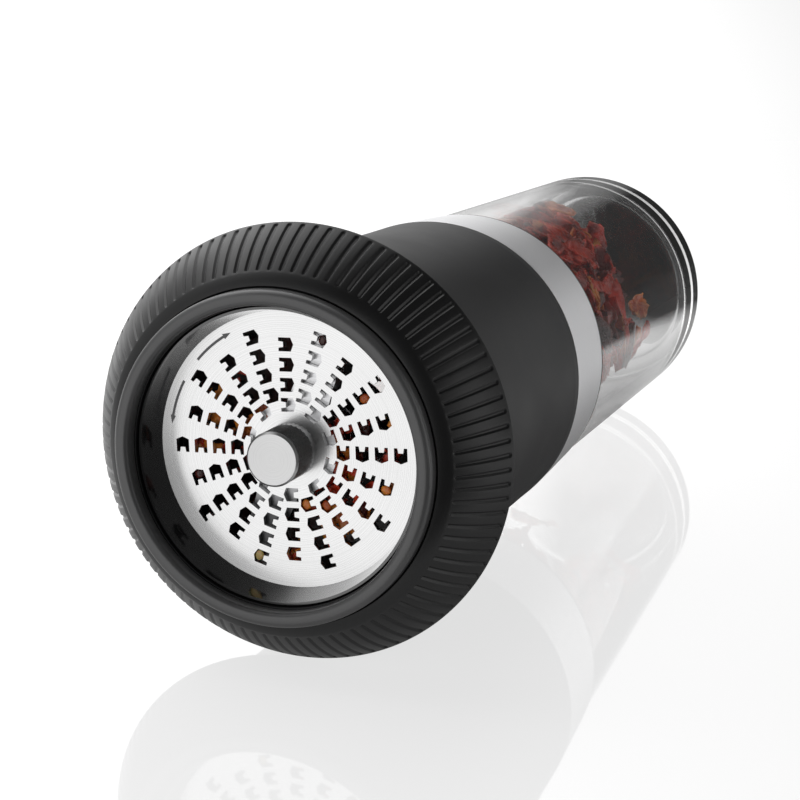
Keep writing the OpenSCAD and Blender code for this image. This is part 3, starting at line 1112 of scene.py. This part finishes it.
@dataclass
class HeadLook(Look):
    """Knurled knob on the cutting disc, and the print on the disc's rim."""

    knob_r: float = 4.07 * MM
    knurl_columns: int = 64
    knurl_rows: int = 18
    knurl_height: float = 0.16 * MM
    knurl_gap: float = 0.2
    end_margin: float = 0.5 * MM
    chamfer: float = 0.3 * MM
    spigot_r: float = 2.6 * MM
    mark_r: float = 19.2 * MM
    mark_lift: float = 0.015 * MM
    mark_width: float = 0.4 * MM
    mark_span: float = 17.0
    mark_steps: int = 12
    mark_angles: tuple[float, ...] = (321.0, 292.0)
    mark_ways: tuple[int, ...] = (1, -1)
    head_span: float = 4.0
    head_ratio: float = 2.2

    def knob(self) -> bpy.types.Object:
        """Make the knob, with points raised in a diamond pattern round its side.

        Returns:
            The knob's object.
        """
        low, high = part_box("knob")
        face_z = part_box("cutting_disc")[0].z
        start, end = low.z + self.end_margin, face_z - self.end_margin
        inner = self.knob_r - self.knurl_height
        rows = [start + (end - start) * i / self.knurl_rows for i in range(self.knurl_rows + 1)]
        outline = [
            (0.0, low.z),
            (self.knob_r - self.chamfer, low.z),
            (self.knob_r, low.z + self.chamfer),
            (self.knob_r, start - self.knurl_gap * self.end_margin),
            *[(inner, z) for z in rows],
            (inner, face_z),
            (self.spigot_r, face_z),
            (self.spigot_r, high.z),
            (0.0, high.z),
        ]
        shape = turn_outline(outline, self.knurl_columns, closed=False)
        spacing = (end - start) / self.knurl_rows
        column = TURN / self.knurl_columns
        for vert in shape.verts:
            radius = math.hypot(vert.co.x, vert.co.y)
            row = (vert.co.z - start) / spacing
            if abs(radius - inner) > MATCH_REACH or not 0.5 < row < self.knurl_rows - 0.5:
                continue
            place = round((math.atan2(vert.co.y, vert.co.x) % TURN) / column) + round(row)
            if place % 2:
                vert.co.xy *= self.knob_r / inner
        side = [f for f in shape.faces if start - self.end_margin / 2 < f.calc_center_median().z < face_z]
        for face in side:
            face.material_index = 1
        bmesh.ops.triangulate(shape, faces=side, quad_method="SHORT_EDGE")
        made = self.add_piece("knurled_knob", shape, Body.DISC, "knob_steel", "knob", smooth_angle=25.0)
        # The knurled side wears the darker copy of the knob's steel, as painted shade.
        made.data.materials.append(self.finishes.shaded_knurl_steel.material())
        return made

    def arrow(self, name: str, middle: float, way: int) -> bpy.types.Object:
        """Print one curved arrow on the disc's rim.

        Args:
            name: Name of the piece.
            middle: Angle of its middle in degrees.
            way: 1 or -1, the way that it points.

        Returns:
            The arrow's object.
        """
        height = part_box("cutting_disc")[0].z - self.mark_lift
        half = self.mark_width / 2
        tail = math.radians(middle - way * self.mark_span / 2)
        neck = math.radians(middle + way * self.mark_span / 2)
        tip = math.radians(middle + way * (self.mark_span / 2 + self.head_span))
        shape = bmesh.new()
        ends = [shape.verts.new(polar(self.mark_r + side * half, tail, height)) for side in (-1, 1)]
        edge = shape.edges.new(ends)
        sweep(shape, [*ends, edge], math.radians(way * self.mark_span), self.mark_steps)
        head = self.head_ratio * half
        corners = ((self.mark_r - head, neck), (self.mark_r + head, neck), (self.mark_r, tip))
        shape.faces.new([shape.verts.new(polar(radius, angle, height)) for radius, angle in corners])
        for face in shape.faces:
            face.normal_update()
            if face.normal.z > 0:
                face.normal_flip()
        return self.add_piece(name, shape, Body.DISC, "print_ink", slot="gloss_black")

    def build(self) -> None:
        """Make the head's pieces."""
        self.knob()
        for number, (angle, way) in enumerate(zip(self.mark_angles, self.mark_ways), start=1):
            self.arrow(f"rim_arrow_{number}", angle, way)


@dataclass
class SpringLook(Look):
    """Spring that presses the blade bar towards the disc; it is wound at one length and does not shorten as
    the bar gives way.
    """

    mean_r: float = 4.5 * MM
    turns: int = 5
    turn_steps: int = 36
    wire_sides: int = 12
    fixed_z: float = 25.5 * MM
    travel: float = 1.5 * MM

    def build(self) -> bpy.types.Object:
        """Wind the spring from a ring of points round its wire.

        Returns:
            The spring's object.
        """
        low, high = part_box("blade_spring")
        wire_r = high.x - self.mean_r
        shape = bmesh.new()
        bmesh.ops.create_circle(shape, segments=self.wire_sides, radius=wire_r)
        start = Matrix.Translation((self.mean_r, 0.0, low.z + wire_r))
        upright = Matrix.Rotation(math.pi / 2, 4, "X")
        bmesh.ops.transform(shape, matrix=start @ upright, verts=shape.verts)
        steps = self.turns * self.turn_steps
        rise = (high.z - low.z - 2 * wire_r) / steps
        sweep(shape, [*shape.verts, *shape.edges], self.turns * TURN, steps, rise)
        bmesh.ops.holes_fill(shape, edges=shape.edges)
        bmesh.ops.recalc_face_normals(shape, faces=shape.faces)
        made = self.add_piece(
            "wound_spring", shape, Body.BODY, "plain_steel", "blade_spring", smooth_angle=50.0
        )
        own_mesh(made)
        return made


@dataclass
class ChilliLook(Look):
    """Dried chilli pieces in the container, and fragments behind and in the disc's holes."""

    slot: str = "seal_rubber"
    seed: int = 41
    skins: tuple[str, ...] = ("chilli_red", "chilli_orange", "chilli_dark")
    bed_count: int = 110
    bed_r: Point = (5.0 * MM, 18.5 * MM)
    bed_z: Point = (78.0 * MM, 106.0 * MM)
    drift_count: int = 90
    drift_angles: Point = (-14.0, 104.0)
    drift_r: Point = (13.0 * MM, 19.0 * MM)
    drift_z: Point = (96.0 * MM, 128.0 * MM)
    settled: float = 1.3
    pile_mix: tuple[int, ...] = (7, 3, 1)
    wall_r: float = 19.6 * MM
    neck_z: float = 73.0 * MM
    flake_grid: tuple[int, int] = (10, 6)
    flake_length: Point = (7.0 * MM, 13.0 * MM)
    flake_width: Point = (4.5 * MM, 8.0 * MM)
    flake_curl: Point = (1.0, 2.6)
    flake_thickness: float = 0.3 * MM
    noise_reach: float = 50.0
    least_curl: float = 0.2
    twist: float = 1.2
    taper: float = 0.5
    bend: float = 0.35
    wavy: float = 0.35
    wavy_rate: float = 4.0
    ragged: float = 0.1
    ragged_rate: float = 12.0
    frayed: float = 0.05
    torn: float = 0.14
    torn_rate: Triple = (3.0, 5.0, 1.0)
    crumpled: float = 0.16
    crumpled_rate: Triple = (5.0, 6.0, 7.0)
    wrinkled: float = 0.06
    wrinkled_rate: Triple = (9.0, 14.0, 3.0)
    fragment_r: Point = (6.2 * MM, 17.8 * MM)
    fragment_gap: Point = (0.1 * MM, 0.35 * MM)
    fragment_length: Point = (2.2 * MM, 3.6 * MM)
    fragment_width: Point = (1.8 * MM, 2.6 * MM)
    fragment_curl: float = 1.3
    fragment_tilt: float = 0.5
    fragment_thickness: float = 0.2 * MM
    fragment_mix: tuple[int, ...] = (5, 5, 2)
    clusters: tuple[tuple[float, float, int], ...] = (
        (92.0, 34.0, 34), (150.0, 22.0, 14), (186.0, 7.0, 5), (274.0, 24.0, 13), (318.0, 16.0, 4),
    )
    blade_angle: float = 22.0
    blade_half: float = 5.2 * MM
    first_row_r: float = 6.73 * MM
    row_pitch: float = 2.98 * MM
    stagger: float = 1.68 * MM
    spoke_angle: float = 18.0
    stuck_shift: float = 0.5 * MM
    stuck_size: Vector = field(default_factory=lambda: Vector((0.8, 0.7, 0.3)) * MM)
    stuck_sides: tuple[int, int] = (12, 8)
    stuck_lumps: float = 0.15
    stuck_rate: float = 1.3
    stuck: tuple[tuple[int, int, str], ...] = (
        (11, 3, "chilli_seed"), (1, 3, "chilli_dark"), (8, 1, "chilli_orange"), (9, 0, "chilli_orange"),
        (14, 3, "chilli_dark"), (3, 2, "chilli_orange"), (6, 3, "chilli_orange"),
    )
    groups: dict[str, Shape] = field(default_factory=dict)

    @staticmethod
    def uneven(shift: Vector, u: float, v: float, rate: Triple) -> float:
        """Smooth random unevenness over a flake.

        Args:
            shift: The flake's own place in the noise.
            u: Place along the flake.
            v: Place across the flake.
            rate: How fast it varies along and across, and its layer of the noise.

        Returns:
            A number about 0.
        """
        return noise.noise(shift + Vector((u * rate[0], v * rate[1], rate[2])))

    @staticmethod
    def tumbled(about_z: float, about_x: float, about_y: float) -> Matrix:
        """Turn about Y, then X, then Z.

        Args:
            about_z: Angle about Z in radians.
            about_x: Angle about X in radians.
            about_y: Angle about Y in radians.

        Returns:
            The turn's matrix.
        """
        turn = Matrix.Rotation(about_z, 4, "Z") @ Matrix.Rotation(about_x, 4, "X")
        return turn @ Matrix.Rotation(about_y, 4, "Y")

    def flake(self, chance: random.Random, length: float, width: float, curl: float) -> Shape:
        """Make one curled, torn and crumpled flake at the origin.

        Args:
            chance: Source of chance.
            length: Length in metres.
            width: Width in metres.
            curl: How far it curls, in radians across its width.

        Returns:
            The flake's bmesh.
        """
        shape = bmesh.new()
        columns, rows = self.flake_grid
        bmesh.ops.create_grid(shape, x_segments=columns, y_segments=rows, size=0.5)
        shift = Vector([chance.uniform(0, self.noise_reach) for _ in range(3)])
        radius = width / max(curl, self.least_curl)
        twist = chance.uniform(-self.twist, self.twist)
        for vert in shape.verts:
            u, v = vert.co.x, vert.co.y
            near_end = abs(2 * u) ** 3
            waves = self.wavy * self.uneven(shift, u, v, (self.wavy_rate, 0.0, 0.0))
            waves += self.ragged * self.uneven(shift, u, v, (self.ragged_rate, 0.0, v))
            angle = v * (1.0 - self.taper * near_end + waves) * curl + u * twist
            bend = self.bend * length * u * u
            tear = (self.frayed + self.torn * near_end) * self.uneven(shift, u, v, self.torn_rate)
            crumple = self.crumpled * width * self.uneven(shift, u, v, self.crumpled_rate)
            crumple += self.wrinkled * width * self.uneven(shift, u, v, self.wrinkled_rate)
            vert.co.x = length * (u + tear)
            vert.co.y = (radius - crumple) * math.sin(angle)
            vert.co.z = radius * (1 - math.cos(angle)) + bend + crumple
        return shape

    def put(self, skin: str, flake: Shape) -> None:
        """Add a placed flake to its group.

        Args:
            skin: Name of the group's finish.
            flake: The flake, which is freed.
        """
        loose = bpy.data.meshes.new("flake")
        flake.to_mesh(loose)
        flake.free()
        self.groups.setdefault(skin, bmesh.new()).from_mesh(loose)
        bpy.data.meshes.remove(loose)

    def close(self, prefix: str, body: Body, thickness: float) -> None:
        """Turn the gathered groups into objects.

        Args:
            prefix: Start of the objects' names.
            body: The body that they ride on.
            thickness: Thickness of a flake in metres.
        """
        for skin, shape in self.groups.items():
            name = f"{prefix}_{skin}"
            made = self.add_piece(name, shape, body, skin, slot=self.slot, smooth_angle=ALL_SMOOTH)
            wall = made.modifiers.new("skin", "SOLIDIFY")
            wall.thickness = thickness
            wall.offset = 0.0
        self.groups = {}

    def heap(self, chance: random.Random, count: int, angles: Point, radii: Point, heights: Point) -> None:
        """Drop flakes into a part of the container and press them against its wall.

        Args:
            chance: Source of chance.
            count: Number of flakes.
            angles: First and last angle round the axis, in degrees.
            radii: Least and greatest distance from the axis.
            heights: Lowest and highest place along the axis, where the lower is fuller.
        """
        low, high = heights
        for _ in range(count):
            angle = math.radians(chance.uniform(*angles))
            radius = math.sqrt(chance.uniform(radii[0] ** 2, radii[1] ** 2))
            place = polar(radius, angle, low + (high - low) * chance.random() ** self.settled)
            length, width = chance.uniform(*self.flake_length), chance.uniform(*self.flake_width)
            flake = self.flake(chance, length, width, chance.uniform(*self.flake_curl))
            turn = self.tumbled(chance.uniform(0, TURN), chance.uniform(0, TURN), chance.uniform(0, TURN))
            bmesh.ops.transform(flake, matrix=Matrix.Translation(place) @ turn, verts=flake.verts)
            for vert in flake.verts:
                radius = math.hypot(vert.co.x, vert.co.y)
                if radius > self.wall_r:
                    vert.co.xy *= self.wall_r / radius
                vert.co.z = max(vert.co.z, self.neck_z)
            self.put(chance.choices(self.skins, self.pile_mix)[0], flake)

    def pile(self) -> None:
        """Fill the container's mouth end, with a drift of flakes along one side."""
        chance = random.Random(self.seed)
        self.heap(chance, self.bed_count, (0.0, 360.0), self.bed_r, self.bed_z)
        self.heap(chance, self.drift_count, self.drift_angles, self.drift_r, self.drift_z)
        self.close("pile", Body.CONTAINER, self.flake_thickness)

    def fragments(self) -> None:
        """Lay cut fragments behind the disc, in clusters clear of the blade bar."""
        chance = random.Random(self.seed + 1)
        disc_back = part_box("cutting_disc")[1].z
        arm = polar(1.0, math.radians(self.blade_angle), 0.0)
        for middle, reach, count in self.clusters:
            made = 0
            while made < count:
                angle = math.radians(middle + chance.uniform(-reach, reach))
                place = polar(chance.uniform(*self.fragment_r), angle, 0.0)
                if arm.cross(place).length < self.blade_half:
                    continue
                length, width = chance.uniform(*self.fragment_length), chance.uniform(*self.fragment_width)
                flake = self.flake(chance, length, width, self.fragment_curl)
                turn = self.tumbled(
                    chance.uniform(0, TURN),
                    chance.uniform(-self.fragment_tilt, self.fragment_tilt),
                    chance.choice((0.0, math.pi)),
                )
                bmesh.ops.transform(flake, matrix=Matrix.Translation(place) @ turn, verts=flake.verts)
                lift = disc_back + chance.uniform(*self.fragment_gap) - min(v.co.z for v in flake.verts)
                bmesh.ops.translate(flake, vec=(0.0, 0.0, lift), verts=flake.verts)
                self.put(chance.choices(self.skins, self.fragment_mix)[0], flake)
                made += 1
        self.close("fragments", Body.BODY, self.fragment_thickness)

    def stuck_bits(self) -> None:
        """Jam a few bits and a seed in the disc's holes, beside the teeth."""
        low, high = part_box("cutting_disc")
        columns, rows = self.stuck_sides
        for spoke, row, skin in self.stuck:
            radius = self.first_row_r + row * self.row_pitch + (spoke % 2) * self.stagger
            bit = bmesh.new()
            bmesh.ops.create_uvsphere(bit, u_segments=columns, v_segments=rows, radius=1.0)
            for vert in bit.verts:
                lump = noise.noise(self.stuck_rate * vert.co + Vector((spoke, row, 0.0)))
                vert.co *= 1.0 + self.stuck_lumps * lump
            bmesh.ops.scale(bit, vec=self.stuck_size, verts=bit.verts)
            place = Vector((radius, self.stuck_shift, (low.z + high.z) / 2))
            turn = Matrix.Rotation(math.radians(spoke * self.spoke_angle), 4, "Z")
            bmesh.ops.transform(bit, matrix=turn @ Matrix.Translation(place), verts=bit.verts)
            name = f"stuck_bit_{spoke}_{row}"
            self.add_piece(name, bit, Body.DISC, skin, slot=self.slot, smooth_angle=ALL_SMOOTH)

    def build(self) -> None:
        """Make all the contents."""
        self.pile()
        self.fragments()
        self.stuck_bits()


@dataclass
class InnerWorks(Look):
    """Finishes of the pieces whose solids are shown as they are."""

    worn: dict[str, tuple[str, ...]] = field(
        default_factory=lambda: {
            "inner_plastic": ("jar_socket", "hopper", "spider", "ring_hub", "rotor_sleeve"),
            "seal_rubber": ("container_seal",),
            "plain_steel": (
                "spider_screws", "shaft", "shaft_washer", "shaft_nut", "spring_seat", "retaining_ring",
                "knob_washer",
            ),
            "blade_steel": ("blade_bar",),
            "glide_plastic": ("glide_ring",),
            "satin_black": ("ring_back_plate",),
            "gloss_black": ("disc_carrier",),
            "disc_steel": ("cutting_disc",),
        }
    )

    def build(self, nodes: dict[str, bpy.types.Object]) -> None:
        """Dress the solids.

        Args:
            nodes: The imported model's nodes.
        """
        for finish, names in self.worn.items():
            material = getattr(self.finishes, finish).material()
            for name in names:
                dress(nodes[name], material)
                LOG.info("node %s in %s", name, finish)


# Table, light and camera


@dataclass(frozen=True)
class Lamp:
    """A soft lamp: its place in the studio, its width and height in metres, and its power in watts."""

    name: str
    spot: Triple
    size: Point
    power: float


@dataclass
class Studio:
    """White table that the part lies on, sky, cards, soft lamps and the camera."""

    lie_angle: float = 183.47
    table_front: float = -0.123
    table_back: float = 3.0
    table_half: float = 3.0
    camera_place: Vector = field(default_factory=lambda: Vector((69.73, 128.59, -278.5)) * MM)
    camera_target: Vector = field(default_factory=lambda: Vector((5.67, 13.07, 19.62)) * MM)
    lens: float = 99.0
    sensor: float = 36.0
    clip_start: float = 0.01
    table_tone: float = 0.25
    table_roughness: float = 0.03
    table_glow: float = 0.72
    # Painted shadow of the part on the table: glow levels near and far for what metal mirrors and glass
    # shows through, and where they change.
    mirrored_glow: Point = (0.15, 1.0)
    through_glow: Point = (0.36, 1.0)
    shadow_place: Point = (0.02, 0.0)
    shadow_reach: Point = (0.06, 0.15)
    # Painted shade: where the table turns dark at the far right, for what is mirrored and seen through.
    shade_way: Point = (0.57, 0.82)
    shade_reach: Point = (0.14, 0.18)
    dim_light: float = 0.07
    bright_light: float = 2.2
    light_span: Point = (0.58, 0.95)
    sky_way: Triple = (-0.5, 0.65, 0.55)
    card_tone: Triple = (0.012, 0.012, 0.013)
    card_roughness: float = 0.9
    card_depth: float = 0.11
    card_sides: Point = (0.014, 0.2)
    card_heights: Point = (-0.004, 0.25)
    card_fade: float = 0.011
    flag_side: float = -0.3
    flag_depths: Point = (-0.15, 0.25)
    flag_heights: Point = (0.0, 0.3)
    flag_glow: float = 0.45
    lamp_aim: float = 0.03
    lamps: tuple[Lamp, ...] = (
        Lamp("front_lamp", (-0.53, -0.7, 0.1), (0.9, 1.0), 3.2),
        Lamp("right_lamp", (0.7, 0.42, 0.17), (0.4, 0.4), 0.75),
        Lamp("side_lamp", (0.55, -0.28, 0.14), (0.5, 0.28), 0.5),
    )

    def __post_init__(self) -> None:
        """Work out the table's plane from where ring and container touch it."""
        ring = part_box("grip_ring")[1]
        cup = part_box("container")[1]
        angle = math.radians(self.lie_angle)
        out = polar(1.0, angle, 0.0)
        front = out * ring.x + Vector((0, 0, ring.z))
        back = out * ContainerLook.end_r + Vector((0, 0, cup.z))
        along = (back - front).normalized()
        side = out.cross(Vector((0, 0, 1)))
        self.middle = (front + back) / 2
        self.up = along.cross(side).normalized()
        if self.up.dot(out) > 0:
            self.up = -self.up
        self.look = (self.camera_target - self.camera_place).normalized()
        self.right = self.look.cross(self.up).normalized()
        self.depth = self.up.cross(self.right).normalized()

    def place(self, right: float, depth: float, height: float) -> Vector:
        """A point in the studio, from the part's middle on the table.

        Args:
            right: Metres to the camera's right.
            depth: Metres away from the camera.
            height: Metres above the table.

        Returns:
            The point in the part's frame.
        """
        return self.middle + self.right * right + self.depth * depth + self.up * height

    def camera(self) -> None:
        """Make the camera at the photograph's viewing angle."""
        rise = self.right.cross(self.look)
        turn = Matrix((self.right, rise, -self.look)).transposed()
        lens = bpy.data.cameras.new("photo_camera")
        lens.lens = self.lens
        lens.sensor_width = self.sensor
        lens.clip_start = self.clip_start
        holder = bpy.data.objects.new("photo_camera", lens)
        holder.matrix_world = Matrix.Translation(self.camera_place) @ turn.to_4x4()
        bpy.context.scene.collection.objects.link(holder)
        bpy.context.scene.camera = holder

    def table_material(self) -> bpy.types.Material:
        """White glossy table that can be looked through from below.

        It glows to the camera. What the part mirrors of it and shows through its clear cup is dimmer near
        the part, a painted shadow of the part, and dark beyond an edge at the far right, which is painted
        shade.

        Returns:
            The table's material.
        """
        material, shader = new_material("white_table")
        tree = material.node_tree
        set_inputs(shader, {"Base Color": (*[self.table_tone] * 3, 1.0), "Roughness": self.table_roughness})
        coords = object_coords(tree)
        away = measure(tree, "DISTANCE", coords, self.place(*self.shadow_place, 0.0))
        # Painted shade: the table is dark beyond an edge at the far right, for mirrored and seen-through
        # rays.
        way = self.right * self.shade_way[0] + self.depth * self.shade_way[1]
        beyond = measure(tree, "DOT_PRODUCT", coords, way)
        edge = self.middle.dot(way)
        far = spread(tree, beyond, 1.0, 0.0, tuple(edge + reach for reach in self.shade_reach))
        rays = tree.nodes.new("ShaderNodeLightPath").outputs
        # Painted shadow: what metal mirrors and glass shows of the table is dimmer near the part.
        near = spread(tree, away, *self.mirrored_glow, self.shadow_reach)
        mirrored = combine(tree, "MULTIPLY", rays["Is Glossy Ray"], near)
        level = spread(tree, away, *self.through_glow, self.shadow_reach)
        through = combine(tree, "MULTIPLY", rays["Is Transmission Ray"], level)
        other = combine(tree, "MULTIPLY", combine(tree, "MAXIMUM", mirrored, through), far)
        seen = combine(tree, "MAXIMUM", rays["Is Camera Ray"], other)
        glow = tree.nodes.new("ShaderNodeEmission")
        tree.links.new(spread(tree, seen, 0.0, self.table_glow, WHOLE), glow.inputs["Strength"])
        lit = tree.nodes.new("ShaderNodeAddShader")
        tree.links.new(shader.outputs["BSDF"], lit.inputs[0])
        tree.links.new(glow.outputs["Emission"], lit.inputs[1])
        side = tree.nodes.new("ShaderNodeNewGeometry")
        show_by(tree, side.outputs["Backfacing"], lit.outputs["Shader"], clear_shader(tree))
        return material

    def table(self) -> None:
        """Make the table under the part."""
        shape = bmesh.new()
        bmesh.ops.create_grid(shape, x_segments=1, y_segments=1, size=0.5)
        length = self.table_back - self.table_front
        bmesh.ops.scale(shape, vec=(2 * self.table_half, length, 1.0), verts=shape.verts)
        turn = Matrix((self.right, self.depth, self.up)).transposed().to_4x4()
        spot = Matrix.Translation(self.place(0.0, (self.table_front + self.table_back) / 2, 0.0))
        bmesh.ops.transform(shape, matrix=spot @ turn, verts=shape.verts)
        made = add_object("table", shape)
        dress(made, self.table_material())

    def stand_card(self, material: bpy.types.Material, spots: list[Triple]) -> bpy.types.Object:
        """Stand a card that no camera sees and that casts no shadow.

        Args:
            material: Its material, which names it.
            spots: Its four corners, as places in the studio.

        Returns:
            The card's object.
        """
        shape = bmesh.new()
        for spot in spots:
            shape.verts.new(self.place(*spot))
        bmesh.ops.contextual_create(shape, geom=shape.verts)
        made = add_object(material.name, shape)
        dress(made, material)
        made.visible_camera = False
        made.visible_diffuse = False
        made.visible_shadow = False
        return made

    def dark_card(self) -> None:
        """Stand a dark card with soft edges behind the part, which only the clear container shows."""
        material, shader = new_material("dark_card")
        tree = material.node_tree
        set_inputs(shader, {"Base Color": (*self.card_tone, 1.0), "Roughness": self.card_roughness})
        coords = object_coords(tree)
        corner = self.place(self.card_sides[0], self.card_depth, self.card_heights[0])
        fades = []
        for way in (self.right, self.up):
            edge = corner.dot(way)
            along = measure(tree, "DOT_PRODUCT", coords, way)
            fades.append(spread(tree, along, 0.0, 1.0, (edge, edge + self.card_fade)))
        shown = combine(tree, "MULTIPLY", *fades)
        show_by(tree, shown, clear_shader(tree), shader.outputs["BSDF"])
        spots = [(side, self.card_depth, high) for side in self.card_sides for high in self.card_heights]
        self.stand_card(material, spots).visible_glossy = False

    def grey_card(self) -> None:
        """Stand a grey card on the left, which dims what the ring mirrors there."""
        material, shader = new_material("grey_card")
        set_inputs(shader, {"Base Color": (0.0, 0.0, 0.0, 1.0), "Specular IOR Level": 0.0})
        set_inputs(shader, {"Emission Color": (1.0, 1.0, 1.0, 1.0), "Emission Strength": self.flag_glow})
        spots = [(self.flag_side, deep, high) for deep in self.flag_depths for high in self.flag_heights]
        self.stand_card(material, spots).visible_transmission = False

    def hang(self, lamp: Lamp) -> None:
        """Hang one soft lamp that faces the part.

        Args:
            lamp: The lamp.
        """
        light = bpy.data.lights.new(lamp.name, "AREA")
        light.shape = "RECTANGLE"
        light.size, light.size_y = lamp.size
        light.energy = lamp.power
        holder = bpy.data.objects.new(lamp.name, light)
        place = self.place(*lamp.spot)
        aim = self.place(0.0, 0.0, self.lamp_aim) - place
        holder.matrix_world = Matrix.Translation(place) @ aim.to_track_quat("-Z", "Y").to_matrix().to_4x4()
        bpy.context.scene.collection.objects.link(holder)

    def world(self) -> None:
        """Surroundings that look white, and light the part from behind on the left."""
        world = bpy.data.worlds.new("studio")
        world.use_nodes = True
        bpy.context.scene.world = world
        tree = world.node_tree
        sky = tree.nodes.new("ShaderNodeTexCoord").outputs["Generated"]
        facing = measure(tree, "DOT_PRODUCT", sky, (self.place(*self.sky_way) - self.middle).normalized())
        level = spread(tree, facing, self.dim_light, self.bright_light, self.light_span)
        rays = tree.nodes.new("ShaderNodeLightPath").outputs
        seen = combine(tree, "MAXIMUM", rays["Is Camera Ray"], rays["Is Transmission Ray"])
        unseen = spread(tree, seen, 1.0, 0.0, WHOLE)
        strength = combine(tree, "ADD", seen, combine(tree, "MULTIPLY", level, unseen))
        background = tree.nodes["Background"]
        tree.links.new(strength, background.inputs["Strength"])
        background.inputs["Color"].default_value = (1.0, 1.0, 1.0, 1.0)

    def build(self) -> None:
        """Make the studio."""
        self.camera()
        self.table()
        self.dark_card()
        self.grey_card()
        self.world()
        for lamp in self.lamps:
            self.hang(lamp)
        bpy.context.scene.view_settings.view_transform = "Standard"


def main() -> None:
    """Load the frame and build every look in order."""
    logging.basicConfig(level=logging.INFO, format="%(message)s")
    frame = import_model()
    Studio().build()
    finishes = Finishes()
    InnerWorks(finishes).build(frame["nodes"])
    ContainerLook(finishes).build()
    BodyLook(finishes).build()
    RingLook(finishes).build()
    HeadLook(finishes).build()
    SpringLook(finishes).build()
    ChilliLook(finishes).build()


if __name__ == "__main__":
    main()
